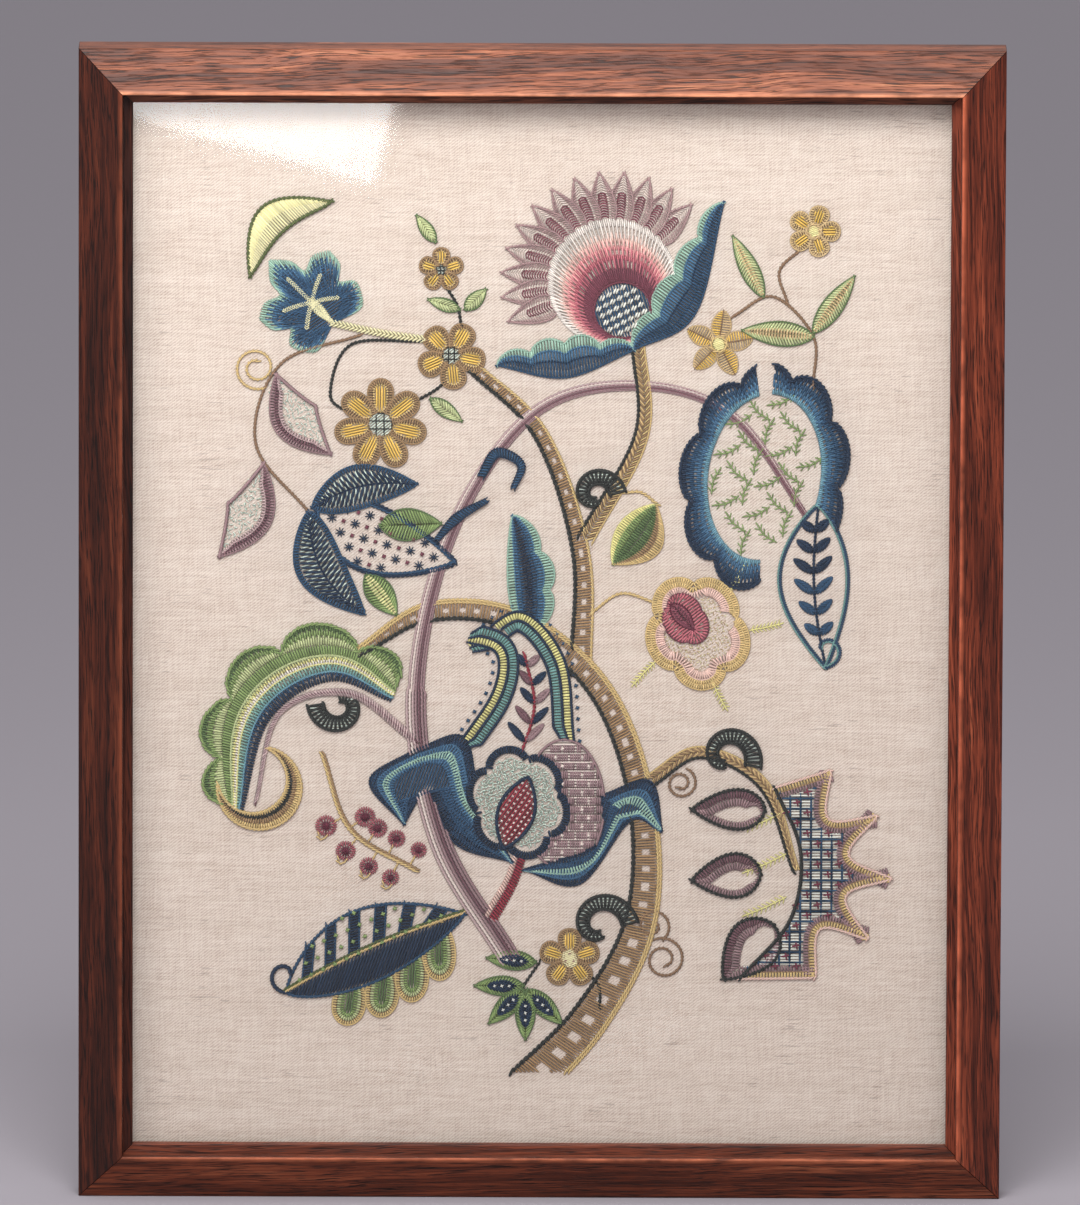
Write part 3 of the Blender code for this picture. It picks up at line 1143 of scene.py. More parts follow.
def cord(points, widths, wool, slip=1, edges=None, over=True):
    """A solid stem of slanted satin whose width is named at a few places."""
    path = smooth(points)
    width = sized(points, np.atleast_1d(widths) * 1.0, path) if np.ndim(widths) else widths
    left = offset(path, width / 2)
    right = offset(path, -width / 2)
    if over:
        cover(np.vstack([left, right[::-1]]))
    satin(left, right, wool, slip=slip)
    for line in (left, right) if edges else ():
        rope(line, edges, 0.9, lift=0.45)


begin("wool_stems")
trunk([(-35, 130), (0, 95), (20, 35), (20, -25)], [4.5, 7, 9.5])
trunk([(-90, -15), (-55, 5), (-10, 0), (30, -35), (50, -90), (50, -150), (25, -200), (-12, -240)],
      [2, 7, 8, 9, 10, 13, 16, 19], gold_rows=2)

MAUVE_STEM = [(-15, -170), (-50, -110), (-62, -35), (-45, 45), (-5, 105), (45, 120), (95, 105),
              (135, 50)]
MAUVE_ROWS = ("lightmauve", "palemauve", "lightmauve", "mauve", "darkmauve", "mauve", "mauve")


def mauve_stem():
    """Seven rows of stem stitch side by side, pale on the left and dark on the right."""
    path = smooth(MAUVE_STEM)
    width = sized(MAUVE_STEM, [11, 11, 10.5, 8.5, 7, 6, 5.5, 5, 4.5, 3], path)
    cover(np.vstack([offset(path, width / 2), offset(path, -width / 2)[::-1]]))
    for number, wool in enumerate(MAUVE_ROWS):
        rope(offset(path, width * (3 - number) / 7), wool, width / 7 * 1.12, 2.1, 0.2)
        if number in (0, 2, 4):
            rope(offset(path, width * (2.5 - number) / 7), "plum", 0.55, 1.8, 0.1, 0.2)

mauve_stem()


def plait_stem(points, width, gold=True, dark_side=1):
    """A plaited gold-brown stem with a charcoal line on one side and thin gold on the other."""
    path = smooth(points)
    reach = sized(points, width, path)
    cover(np.vstack([offset(path, reach / 2), offset(path, -reach[::-1] / 2)[::-1]]))
    for side in (1, -1):
        edge = offset(path, side * reach / 2)
        satin(edge, offset(path, side * 0.1), "bronze", 1.6, 1.5, slip=2)
        satin(edge, offset(path, side * 0.1), "gold", 3.2, 1.2, slip=1, lift=0.25)
    rope(offset(path, dark_side * (reach / 2 + 0.6)), "charcoal", 1.5)
    rope(offset(path, -dark_side * (reach / 2 + 0.4)), "gold", 0.9)

plait_stem([(48, 142), (50, 95), (22, 42)], [5, 5.5, 7], dark_side=-1)
plait_stem([(54, -80), (80, -65), (112, -82), (128, -125)], [5, 4.5, 4, 2], dark_side=-1)
told("stems")

# %% [markdown]
# ## Thin lines and tendrils
# Single rows of stem stitch carry the small flowers and pods. The tendrils are curls.

# %% Work the thin lines
begin("wool_lines")
for wool, points in (
    ("brown", [(-90, 145), (-130, 130), (-142, 90), (-115, 55)]),
    ("charcoal", [(-60, 142), (-95, 140), (-105, 115), (-95, 105)]),
    ("charcoal", [(-45, 125), (-52, 118), (-62, 112)]),
    ("charcoal", [(-48, 170), (-42, 160), (-40, 150)]),
    ("brown", [(95, 155), (115, 165), (135, 145), (135, 120)]),
    ("brown", [(122, 162), (118, 178), (130, 190)]),
    ("gold", [(42, 66), (50, 66), (58, 60)]),
    ("gold", [(25, 5), (40, 15), (58, 10)]),
    ("charcoal", [(0, -172), (-4, -178), (-8, -184)]),
    ("charcoal", [(25, -178), (30, -185), (30, -195)]),
):
    rope(smooth(points), wool, 1.3)
for wool, start, heading, turns, radius, hand in (
    ("gold", (-138, 118), 200, 1.6, 11, -1), ("brown", (58, -160), 20, 1.5, 11, -1),
    ("brown", (62, -160), 40, 1.2, 9, 1), ("brown", (74, -74), -30, 1.5, 8, -1),
):
    rope(curl(start, heading, turns, radius, hand), wool, 1.2)
braid(smooth([(-104, 151), (-80, 146), (-59, 143)]), "cream", 3.2)
told("thin lines")

# %% [markdown]
# ## Leaf in blue, and the cream crescent
# Five pointed lobes fan out from the stem, worked in long and short stitch from mint through
# light blue to dark blue. The crescent beside it is cream satin with an olive rim.

# %% Work the vine leaf and the crescent
def nearest_on(lines, points):
    """For each point, the nearest point of several lines."""
    spots = np.vstack([spaced(np.array(line, float), 0.7) for line in lines])
    gaps = np.hypot(*(points[:, None] - spots[None]).transpose(2, 0, 1))
    return spots[gaps.argmin(1)]

begin("wool_top_left")
left, right, rib = blade((-145, 175), (-105, 212), 16, 13)
satin(left, right, "cream", 1.4)
satin(left, rib, "sprig", 1.4, lift=0.15)
for line in (left, right):
    rope(line, "olive", 1.5, lift=0.45)

VINE_BASE = np.array((-104.0, 151.0))
VINE_HUB = VINE_BASE + 14 * heading_of(135)
outline = [VINE_BASE]
tips = []
for number in range(5):
    angle = 135 + 62 * (number - 2)
    tips.append(VINE_HUB + (31 - 3 * abs(number - 2)) * heading_of(angle))
    outline += [VINE_HUB + 24 * heading_of(angle - 17), tips[-1], tips[-1],
                VINE_HUB + 24 * heading_of(angle + 17)]
    if number < 4:
        outline.append(VINE_HUB + 17 * heading_of(angle + 31))
vine = smooth([tuple(point) for point in outline + [VINE_BASE]], 0.7)
VEINS = [[tuple(VINE_BASE), tuple(VINE_HUB), tuple(VINE_HUB + (tip - VINE_HUB) * 0.9)]
         for tip in tips]
vein_side = nearest_on(VEINS, vine + (VINE_BASE - vine) * 0.6)
hatch(vine + (VINE_HUB - vine) * 0.12, 35, 1.4, "deep", 1.6, -0.1)
shaded(vine, vein_side, ["mint", "blue", "deep", "deep"], [0, 0.24, 0.46, 0.72, 1.0], 1.25, 0.6,
       1.4)
for vein in VEINS:
    line = smooth(vein)
    braid(line[:round(len(line) * 0.75)], "cream", 1.9, lift=0.5)
told("vine leaf and crescent")

# %% [markdown]
# ## The round flowers
# Each petal is a brown ring, a tan ring and a yellow heart, and the petals stand evenly round
# the middle. Three of the flowers have a little trellis in the middle.

# %% Work the round flowers
def trellis(polygon, angle, pitch, wool, width=0.6, lift=0.2, double=0.0):
    """Threads laid over a shape in two directions; double sets pairs that far apart."""
    for turn in (angle, angle + 90):
        hatch(polygon, turn, pitch, wool, width, lift)
        if double:
            step = np.array([-math.sin(math.radians(turn)), math.cos(math.radians(turn))]) * double
            hatch(np.asarray(polygon) - step, turn, pitch, wool, width, lift)

begin("wool_flowers")
for centre, radius, count, first, middle in (
    ((-50, 178), 11, 5, 90, "net"), ((-45, 135), 17, 5, 60, "net"), ((-80, 100), 23, 7, 90, "net"),
    ((15, -170), 15, 5, 90, "seeds"), ((135, 198), 13, 5, 72, "ring"),
):
    angles = [first + 360 / count * number for number in range(count)]
    heart = circle(centre, radius * 0.26)
    rim_wool = "tan" if middle == "ring" else "bronze"
    half_wide = radius * (0.27 if count > 5 else 0.36)
    petals(centre, radius, angles, (rim_wool, "gold", "yellow"), half_wide)
    if middle == "ring":
        rope(circle(centre, 3.6), "tan", 1.4, lift=0.55)
        hatch(circle(centre, 3.0), 20, 0.9, "sprig")
    elif middle == "seeds":
        hatch(circle(centre, 4.6), 20, 0.9, "cream")
        dots = [np.array(centre) + 2.4 * heading_of(turn) for turn in (90, 210, 330)]
        knots(dots, "plum", 1.7, 0.5)
    else:
        cover(heart)
        hatch(heart, 40, 1.2, "frost", 1.2)
        trellis(heart, 0, radius * 0.17, "charcoal", 1.0, 0.5)

begin("wool_top_right")


def split_petals(centre, radius, angles, width, first, second):
    """Pointed petals worked in two colours, one on each side of the middle line."""
    for angle in angles:
        heading = heading_of(angle)
        left = np.array([-heading[1], heading[0]])
        t = np.linspace(0, 1, 24)[:, None]
        rib = np.array(centre) + heading * (3.5 + (radius - 3.5) * t)
        half = width / 2 * np.sin(math.pi * t ** 0.8) ** 0.6
        satin(rib + left * half, rib, first, 1.25, 1.3)
        satin(rib - left * half, rib, second, 1.25, 1.3)
        rope(rib, "brown", 0.6, lift=0.55)
        rope(np.vstack([rib + left * half, (rib - left * half)[::-1]]), second, 0.8, lift=0.1)

split_petals((88, 141), 17, range(10, 370, 72), 9.5, "yellow", "tan")
rope(circle((88, 141), 3.8), "gold", 1.4, lift=0.55)
hatch(circle((88, 141), 3.2), 20, 0.9, "sprig")
for base, tip, width in (((110, 165), (95, 195), 9), ((135, 145), (100, 148), 12),
                         ((135, 147), (155, 175), 10)):
    leaf(base, tip, width, "palegreen", "forest", "tan")
for base, tip, width in (((-53, 192), (-62, 205), 6), ((-41, 158), (-56, 163), 6),
                         ((-38, 158), (-28, 168), 7), ((-55, 113), (-40, 102), 7)):
    leaf(base, tip, width, "palegreen", "forest")
told("round flowers")

# %% [markdown]
# ## The dome flower
# A round dome is shaded from shell pink at its rim to plum at a small blue trellis. Thirteen
# pointed rays stand evenly behind it, and a scalloped calyx in mint and blue holds it.

# %% Work the dome flower
begin("wool_dome_flower")
DOME = np.array((35.0, 172.0))
NET = np.array((40.0, 158.0))
for number in range(13):
    away = 45 + 13 * number
    tip = DOME + 55 * heading_of(away)
    left, right, rib = blade(DOME + 29 * heading_of(away), tip, 13, 0, 0.6)
    cover(closed(left, right))
    for edge in (left, right):
        satin(edge, edge + (rib - edge) * 0.45, "raypink", 1.3, 1.1, slip=1)
        satin(edge + (rib - edge) * 0.42, rib, "palemauve", 1.3, 1.0, slip=1)
        satin((edge + (rib - edge) * 0.58)[:50], rib[:50], "maroon", 1.3, 1.2, slip=1)
        rope(edge, "raypink", 0.9, 1.7, lift=0.45)
rim = circle(DOME, 32, -90, 270)
ring = circle(NET, 14, -90, 270)
cover(rim)
shaded(rim, spaced(ring, count=len(rim)), ["shell", "palepink", "pink", "rose", "plum"],
       [0, 0.30, 0.42, 0.56, 0.76, 1.0], 1.0, 0.7, 1.5)
rope(ring, "plum", 1.0, lift=0.55)
hatch(ring, 107, 1.4, "deep", 1.6)
squares, _ = cells(circle(NET, 12.4), 28, 3.9)
for step in (-0.65, 0.65):
    lay(squares + (step - 0.5, -1.2), squares + (step + 0.5, 1.2), "white", 1.7, 0.6)
for inner, outer in (([(-22, 130), (12, 140), (46, 138)], [(-22, 130), (12, 124), (46, 138)]),
                     ([(46, 138), (62, 168), (90, 212)], [(46, 138), (76, 156), (90, 212)])):
    edge = scalloped(smooth(inner, 0.7), 4, 5)
    foot = spaced(smooth(outer, 0.7), count=len(edge))
    cover(closed(edge, foot))
    shaded(edge, foot, ["mint", "blue", "deep", "deep"], [0, 0.30, 0.58, 0.8, 1.0], ragged=0.0)
    for share, wool in ((0.0, "mint"), (0.30, "blue"), (0.58, "navy"), (1.0, "deep")):
        rope(edge + (foot - edge) * share, wool, 1.0, lift=0.5)
told("dome flower")

# %% [markdown]
# ## Pods and the tulip flower
# The two pods have bands of mauve on one side, a thin scalloped edge on the other, and seeding
# between. The tulip flower has two blue leaves and a long cup scattered with stars and knots.

# %% Work the pods and the tulip flower
begin("wool_left_leaves")
for base, tip, wide, bow in (((-105, 85), (-132, 125), 24, 4), ((-160, 33), (-138, 80), 24, -4)):
    left, right, rib = blade(base, tip, wide, bow)
    thick, thin = (left, right) if bow > 0 else (right, left)
    thin = scalloped(thin, 2, 3 if bow > 0 else -3)
    seeding(closed(thick, thin), 2.4, "frost", 1.8, 0.9)
    seeding(closed(thick, thin), 3.4, "mint", 1.2, 0.6)
    bands(thick, [(2.3, "mauve"), (2.3, "darkmauve"), (1.6, "lightmauve")], rib[40], over=True)
    rope(thin, "mauve", 1.9, 1.5)

left, right, rib = blade((-112, 57), (-42, 30), 34, -4, 0.75)
cup = closed(left, right)
CUP_HEART = rib.mean(0)
cover(cup)
places, _ = cells(CUP_HEART + (cup - CUP_HEART) * 0.82, 30, 8.5)
stars(places, "navy", 5.2, 4, 0.85)
places, _ = cells(CUP_HEART + (cup - CUP_HEART) * 0.8, 30, 8.5, 0.0)
knots(places, "plum", 2.2)
for step in (0.0, 1.3):
    rope(offset(cup, step * side_of(cup, CUP_HEART)), "deep" if step else "navy", 1.4)
for base, tip, wide, bow in (((-114, 58), (-62, 70), 22, 5), ((-116, 56), (-88, 4), 24, -8)):
    left, right, bone = blade(base, tip, wide, bow, 0.85)
    cover(closed(left, right))
    for edge in (left, right):
        satin(edge + (bone - edge) * 0.2, bone, "frost", 1.5, 1.5, slip=1)
        satin(edge + (bone - edge) * 0.2, bone, "navy", 2.4, 2.0, slip=2, lift=0.4)
        bands(edge, [(2.6, "deep")], bone[40], taper=False, over=True)
    rope(bone, "navy", 0.9, lift=0.55)
leaf((-80, 49), (-50, 50), 16, "green", "forest")
leaf((-87, 24), (-72, 4), 13, "green", "forest", "sprig")
told("pods and tulip flower")

# %% [markdown]
# ## Blue wraps and charcoal combs
# Two dark blue shoots wind round the mauve stem. Four charcoal curls are worked as open
# buttonhole combs: a solid rim, and spokes with linen between them.

# %% Work the wraps and the combs
begin("wool_wraps", 0.9)
cord([(-30, 74), (-22, 86), (-10, 80), (-14, 68)], [3.2, 4.4, 3.4, 2.0], "deep", edges="navy",
     over=False)
cord([(-52, 42), (-42, 53), (-27, 62)], [2, 4.4, 2], "deep", edges="navy", over=False)
begin("wool_combs")
for start, heading, radius, hand in (((38, 66), 95, 11, 1), ((106, -72), 70, 14, 1),
                                     ((-112, -42), -90, 12, 1), ((45, -152), 95, 15, 1)):
    path = curl(start, heading, 0.75, radius, hand)
    wide = np.linspace(8, 4, len(path))
    far, near = offset(path, -wide / 2), offset(path, wide / 2)
    hatch(closed(far, near), 0, 1.5, "frost", 1.5, -0.1)
    satin(far, near, "charcoal", 2.3, 1.9, lift=0.45)
    for line in (far, near):
        rope(line, "charcoal", 1.9, 1.5, lift=0.4)
told("wraps and combs")

# %% [markdown]
# ## Flame leaf, bean and the five-lobed flower
# The flame leaf is a mint edge round blue and navy. The bean has a green core between pale
# bands. The five-lobed flower has a gold and a pink band, seeding, and a rose heart.

# %% Work the flame leaf, the bean and the five-lobed flower
begin("wool_middle")
left, right, rib = blade((-6, -4), (-14, 54), 20, -3, 0.75)
right = scalloped(right, 3, -4)
cover(closed(left, right))
for edge in (left, right):
    shaded(edge, rib, ["mint", "blue", "deep", "navy"], [0, 0.38, 0.62, 0.8, 1.0], ragged=0.0)
    for share, wool in ((0.0, "mint"), (0.38, "blue"), (0.62, "deep")):
        rope(edge + (rib - edge) * share, wool, 0.9, lift=0.5)

left, right, rib = blade((36, 30), (57, 60), 24, -3)
for side, tones in ((left, ("paleyellow", "green", "forest")),
                    (right, ("gold", "bronze", "forest"))):
    shaded(side, rib, tones, [0, 0.34, 0.62, 1.0], 1.3, 0.0)
    for share, wool in ((0.0, tones[0]), (0.34, tones[1]), (0.62, "olive")):
        rope(side + (rib - side) * share, wool, 0.8, lift=0.5)

FLOWER = np.array((78.0, -4.0))
flower = lobed(FLOWER, 26, 30, 5, 0.2, 20)
bands(flower, [(2.5, "gold"), (2.5, "gold"), (4.2, "palepink")], FLOWER, taper=False, pitch=1.25,
      over=True)
inner_shape = FLOWER + (flower - FLOWER) * 0.66
seeding(inner_shape, 1.9, "tan", 1.1, 0.6)
seeding(inner_shape, 2.6, "cream", 1.2, 0.7)
kernel = lobed((72, 2), 11, 14, 3, 0.18, 30)
cover(kernel)
shaded(kernel, nearest_on([np.array([(67, 8), (76, -3)], float)], kernel), ["rose", "rose"],
       [0, 0.45, 1.0], 1.5)
rope(kernel, "plum", 0.8, lift=0.55)
begin("wool_middle", 0.4)
leaf((65, 10), (76, -3), 8, "plum", "berrydark")
begin("wool_middle")
for angle in (45, -5, -80, -150):
    twig([tuple(FLOWER + reach * heading_of(angle + reach / 4)) for reach in (27, 34, 42)],
         "paleyellow", 2.6, 2.0, 1.0)
told("flame leaf, bean and five-lobed flower")

# %% [markdown]
# ## The cloud flower and the paisley
# Rows of buttonhole stitch, dark blue at the edge and lighter inside, make two arcs of lobes.
# Small green twigs fill the open middle. The paisley below is a plaited outline round a fern.

# %% Work the cloud flower and the paisley
begin("wool_cloud_flower")
CLOUD = np.array((111.0, 74.0))
for start, end in ((-0.06, 0.26), (0.30, 0.77)):
    rim = lobed(CLOUD, 42, 58, 9, 0.14, -8, start, end)
    core = lobed(CLOUD, 28, 42, 9, 0.0, -8, start, end)
    shaded(rim, core, ["navy", "deep", "blue", "sky"], [0, 0.32, 0.6, 0.84, 1.0], 1.0, 0.5, 1.6)
    rope(rim, "navy", 1.5, lift=0.55)
places, _ = cells(lobed(CLOUD, 26, 40, 9, 0.0, -8), 25, 11.5)
for number, place in enumerate(places):
    angle = 70 + 65 * (number % 3)
    twig([tuple(place - 6 * heading_of(angle)), tuple(place + 1.2 * heading_of(angle + 90)),
          tuple(place + 6 * heading_of(angle))], "green", 3.0, 3.1, 0.95, 0.8)

left, right, rib = blade((142, -22), (138, 60), 34, 4, 1.15)
cover(closed(left, right))
for line in (left, right, curl((142, -22), 0, 0.7, 9)):
    braid(line, "deep", 1.9, 0.2)
    rope(offset(line, 0.8), "teal", 0.8, 1.6, lift=0.55)
rope(rib, "navy", 1.2)
for number in range(6):
    base = rib[16 + 10 * number]
    reach = 13 - abs(2.5 - number) * 1.6
    for turn in (40, 140):
        wool = "navy" if number > 2 else "deep"
        leaf(base, base + reach * heading_of(turn + 4), 4.5, wool)
told("cloud flower and paisley")

# %% [markdown]
# ## The big leaf on the right
# Mauve satin points hang inside the braided arch, each edged with a charcoal line. Behind them
# a gold and mauve border of even points, edged in pink, frames a blue trellis.

# %% Work the big leaf on the right
begin("wool_right_leaf")
LEAF_HEART = np.array((118.0, -125.0))
outline = []
for number in range(5):
    angle = 62 - 33 * number
    outline += [tuple(LEAF_HEART + 58 * heading_of(angle))] * 2
    if number < 4:
        outline.append(tuple(LEAF_HEART + 37 * heading_of(angle - 16.5)))
frame_edge = smooth([(117, -83)] + outline + [(100, -180)])
arch_edge = smooth([(100, -180), (125, -150), (130, -115), (117, -83)])
net = np.vstack([inset(frame_edge, 6.0, LEAF_HEART), arch_edge])
hatch(net, 0, 1.5, "white", 1.5, -0.1)
trellis(net, 0, 5.2, "deep", 1.7, 0.35, 1.6)
places, cell = cells(net, 0, 5.2, 0.65)
stars(places[cell.sum(1) % 2 == 0], "maroon", 4.6, 2, 1.4, 0.55)
bands(frame_edge, [(3.2, "gold"), (2.9, "mauve")], LEAF_HEART, taper=False, rim=False)
rope(frame_edge, "palepink", 1.3, lift=0.55)
rope(inset(frame_edge, 3.2, LEAF_HEART), "bronze", 0.8, lift=0.55)
for base, tip, wide in (((112, -94), (76, -94), 20), ((110, -126), (76, -130), 22),
                        ((116, -152), (92, -180), 26)):
    left, right, rib = blade(base, tip, wide, 0, 0.7)
    for edge, steps in ((left, [(3.4, "mauve")]), (right, [(4.4, "darkmauve"), (4.0, "mauve")])):
        bands(edge, steps, rib[40], over=True, rim=False)
        rope(edge, "charcoal", 1.5, lift=0.55)
rope(arch_edge, "charcoal", 2.0, 1.6, lift=0.3)
for rise in (0, 22, 44):
    twig([(122, -95 - rise), (112, -100 - rise), (102, -104 - rise)], "paleyellow", 3.0, 2.4, 1.0)
told("big leaf")

# %% [markdown]
# ## The scalloped green leaf and its crescent
# Even green scallops stand on an arch. Below them the rows of buttonhole turn from green to
# cream, mint and dark blue. A gold and brown crescent ends the leaf.

# %% Work the scalloped leaf
begin("wool_green_leaf")
arch_low = smooth([(-75, -40), (-105, -30), (-135, -50), (-148, -95)])
along = np.linspace(0, 1, len(arch_low))


def arch_row(depth):
    """The arch moved outward, furthest in the middle."""
    return offset(arch_low, -depth * (0.35 + 0.65 * np.sin(math.pi * along)))


rows = [arch_low, arch_row(6), arch_row(11), arch_row(16), arch_row(22)]
shaded(rows[1], rows[0], ["deep", "navy"], [0, 0.5, 1.0], 1.5, 0.4)
shaded(rows[2], rows[1], ["mint", "teal"], [0, 0.5, 1.0], 1.5, 0.4)
shaded(rows[3], rows[2], ["palegreen", "paleyellow", "shell"], [0, 0.35, 0.65, 1.0], 1.35, 0.4)
satin(rows[4], rows[3], "green", 1.35)
for line, wool in ((rows[1], "sky"), (rows[2], "paleyellow"), (rows[3], "palegreen")):
    rope(line, wool, 1.0, lift=0.55)
edge = scalloped(rows[4], 5, -11)
shaded(edge, rows[4], ("forest", "green", "palegreen"), [0, 0.3, 0.62, 1.0], 1.25, 0.3)
rope(edge, "green", 1.5, lift=0.55)

outer, inner = crescent((-140, -84), 21, 175, 440, 9)
cover(closed(outer, inner))
shaded(outer, inner, ["gold", "bronze", "charcoal", "gold"], [0, 0.33, 0.62, 0.84, 1.0], 1.25, 0.15)
for line in (outer, inner):
    rope(line, "gold", 1.3, lift=0.55)
STEM = [(-62, -60), (-95, -36), (-130, -46), (-142, -92)]
begin("wool_lines", 0.3)
cord(STEM, [4.6, 4.2, 2.6, 1.6], "lightmauve", 2)
rope(smooth(STEM), "darkmauve", 1.0, lift=0.4)
told("scalloped leaf")

# %% [markdown]
# ## Berries
# A gold and brown stem carries eight berries with dark hearts, four on each side.

# %% Work the berry sprig
begin("wool_berries")
line = smooth([(-109, -67), (-95, -105), (-62, -126)])
rope(line, "gold", 1.4)
rope(offset(line, 1.2), "bronze", 1.3)
for number in range(8):
    near = round(len(line) * (0.42 + 0.075 * number))
    side = 10 if number % 2 else -9
    place = offset(line, side)[min(near, len(line) - 1)]
    root = line[min(near, len(line) - 1)]
    radius = 5.4 - 0.2 * number
    ball = circle(place, radius, -90, 270, 0.6)
    cover(ball)
    hub = spaced(circle(place, radius * 0.3, -90, 270), count=len(ball))
    shaded(ball, hub, ["berry", "plum"], [0, 0.72, 1.0], 1.1, 0.4, 1.2)
    hatch(circle(place, radius * 0.34), 90, 0.8, "berrydark", lift=0.2)
    rope(np.array([root, place + (root - place) / np.hypot(*(root - place)) * radius]), "gold", 0.9)
    if side < 0:
        rope(curl(place + (0, -radius), -110, 0.5, 3, -1), "gold", 1.1, lift=0.4)
told("berries")

# %% [markdown]
# ## The striped leaf
# Slanting navy stripes with knots between them fill the upper half. A navy body and four
# scallops in green and gold make the lower half.

# %% Work the striped leaf
begin("wool_stripe_leaf")
top, low, spine = blade((-126, -188), (-38, -148), 42, 3, 0.9)
for number in range(6):
    at = 14 + 11 * number
    cord([tuple(spine[at - 5]), tuple(top[at + 3])], 4.4 + 0.3 * number, "navy", 1, "deep")
rope(top, "deep", 1.4)
rope(curl((-126, -188), 185, 0.7, 9, -1), "navy", 2.2, 1.8)
places, _ = cells(closed(top, spine), 25, 6.5)
knots(places, "green", 2.3, 0.9)
for number in range(4):
    hub = low[22 + 14 * number]
    oval(hub + (0, -1), -100 + 4 * number, 12 + number, 8.2,
         ("gold", "palegreen", "green", "forest"), (0, 0.26, 0.5, 0.74, 1.0), 0.1)
body = closed(spine, spine + (low - spine) * 0.75)
cover(body)
hatch(body, 70, 1.4, "navy", 2.0)
rope(spine + (low - spine) * 0.75, "deep", 1.4, lift=0.55)
rope(offset(spine, 1.0), "gold", 1.3, lift=0.55)
rope(offset(spine, 2.2), "olive", 1.2, lift=0.55)
told("striped leaf")

# %% [markdown]
# ## The middle group
# Two large blue scrolls hold a mauve ball in brick filling, a navy-edged flower with seeding,
# and a tall paisley whose bands run round a red-stemmed fern.

# %% Work the tall paisley and its fern
begin("wool_paisley")
for points, inward in (([(-36, -10), (-10, 6), (12, -18), (17, -60)], (-10, -30)),
                       ([(-36, -10), (-22, -16), (-24, -35), (-40, -60)], (-8, -30))):
    line = smooth(points)
    side = side_of(line, inward)
    clear = offset(line, side * tapered(line, 11.0, 0.5))
    cover(np.vstack([line, clear[::-1]]))
    reach = 0.0
    for depth, wool in ((3.4, "paleyellow"), (3.8, "teal")):
        near = tapered(line, reach + 0.9, 0.55)
        far = tapered(line, reach + 0.9 + depth, 0.55)
        satin(offset(line, side * near), offset(line, side * far), wool, 1.5)
        rope(offset(line, side * tapered(line, reach + 0.3, 0.55)), "navy", 1.5, 1.3, lift=0.45)
        reach += depth + 1.2
    rope(offset(line, side * tapered(line, reach + 0.2, 0.55)), "navy", 1.5, 1.3, lift=0.45)
    beads = spaced(offset(line, -side * 2.6), 5.6)
    knots(beads[2:], "deep", 2.1)
fern = smooth([(-10, -68), (-3, -42), (-8, -16)])
rope(fern, "red", 1.4)
for number in range(5):
    base = fern[round(len(fern) * (0.15 + 0.18 * number))]
    reach = 13 - 1.2 * number
    wools = ("navy", "darkmauve") if number % 2 else ("mauve", "navy")
    for turn, wool in zip((45, 130), wools):
        leaf(base, base + reach * heading_of(turn), 3.6, wool)
told("tall paisley")

# %% [markdown]
# ### The ball, the scrolls and the navy flower
# The ball is laid in pale mauve and crossed by bricks of short upright stitches. Each scroll
# is shaded from both of its edges to a rib along its middle, and the flower lies on top.

# %% Work the ball, the scrolls and the navy flower
begin("wool_scrolls")
ball = circle((0, 0), 1, -90, 270, 0.02) * (20, 33) + (12, -92)
cover(ball)
hatch(ball, 0, 1.5, "palemauve", 1.8, -0.1)
for row in range(-8, 8):
    for brick in range(-4, 4):
        left = 12 + brick * 6.6 + (row % 2) * 3.3
        for strand in range(5):
            place = np.array((left + strand * 1.15, -92 + row * 4.4))
            if inside(ball, [place])[0] and inside(ball, [place + (0, 3.7)])[0]:
                lay(place, place + (0, 3.9), "mauve", 1.8, 0.4)
        knot = np.array((left + 5.6, -90 + row * 4.4))
        if inside(ball, [knot])[0] and (row + brick) % 2:
            knots([knot], "palemauve", 2.0, 0.8)
rope(ball, "mauve", 1.5, 1.3, lift=0.55)

stem = smooth([(-8, -110), (-14, -130), (-25, -150)])
width = np.linspace(6, 8, len(stem))
cover(np.vstack([offset(stem, width / 2), offset(stem, -width / 2)[::-1]]))
satin(offset(stem, -width / 2), offset(stem, -width * 0.12), "palepink", 1.5, slip=1)
satin(offset(stem, -width * 0.12), offset(stem, width / 2), "red", 1.5, slip=1)
rope(stem, "berrydark", 0.8, lift=0.55)

left_scroll = smooth([(-68, -102), (-85, -80), (-62, -64), (-62, -64), (-38, -58), (-30, -90),
                      (-14, -121)])
left_under = smooth([(-14, -121), (-42, -112), (-56, -86), (-68, -102)])
right_scroll = smooth([(-8, -125), (20, -132), (45, -100), (61, -106), (61, -106), (55, -80),
                       (31, -87)])
right_under = smooth([(31, -87), (28, -112), (-8, -125)])
left_rib = [smooth([(-68, -100), (-72, -80), (-50, -72), (-40, -95), (-14, -122)])]
right_rib = [smooth([(-6, -126), (25, -120), (42, -92), (60, -104)])]
for edge, under, ribs, tones, cuts in (
    (left_scroll, left_under, left_rib, ("navy", "blue", "mint", "blue"), (0, 0.32, 0.56, 0.80, 1)),
    (right_scroll, right_under, right_rib, ("navy", "blue", "mint"), (0, 0.38, 0.66, 1)),
):
    cover(np.vstack([edge, under]))
    hatch(np.vstack([edge, under]), 70, 1.4, "deep", 1.7, -0.15)
    for line, wools, shares in ((edge, tones, cuts), (under, ("navy", "deep"), (0, 0.55, 1))):
        core = nearest_on(ribs, line)
        shaded(line, core, wools, shares, ragged=0.0)
        for share, wool in zip(shares, wools):
            rope(line + (core - line) * share, wool, 1.0, lift=0.5)
begin("wool_navy_flower", 0.2)
BLOOM = np.array((-11.0, -91.0))
bloom = lobed(BLOOM, 26, 29, 6, 0.18, 15)
cover(bloom)
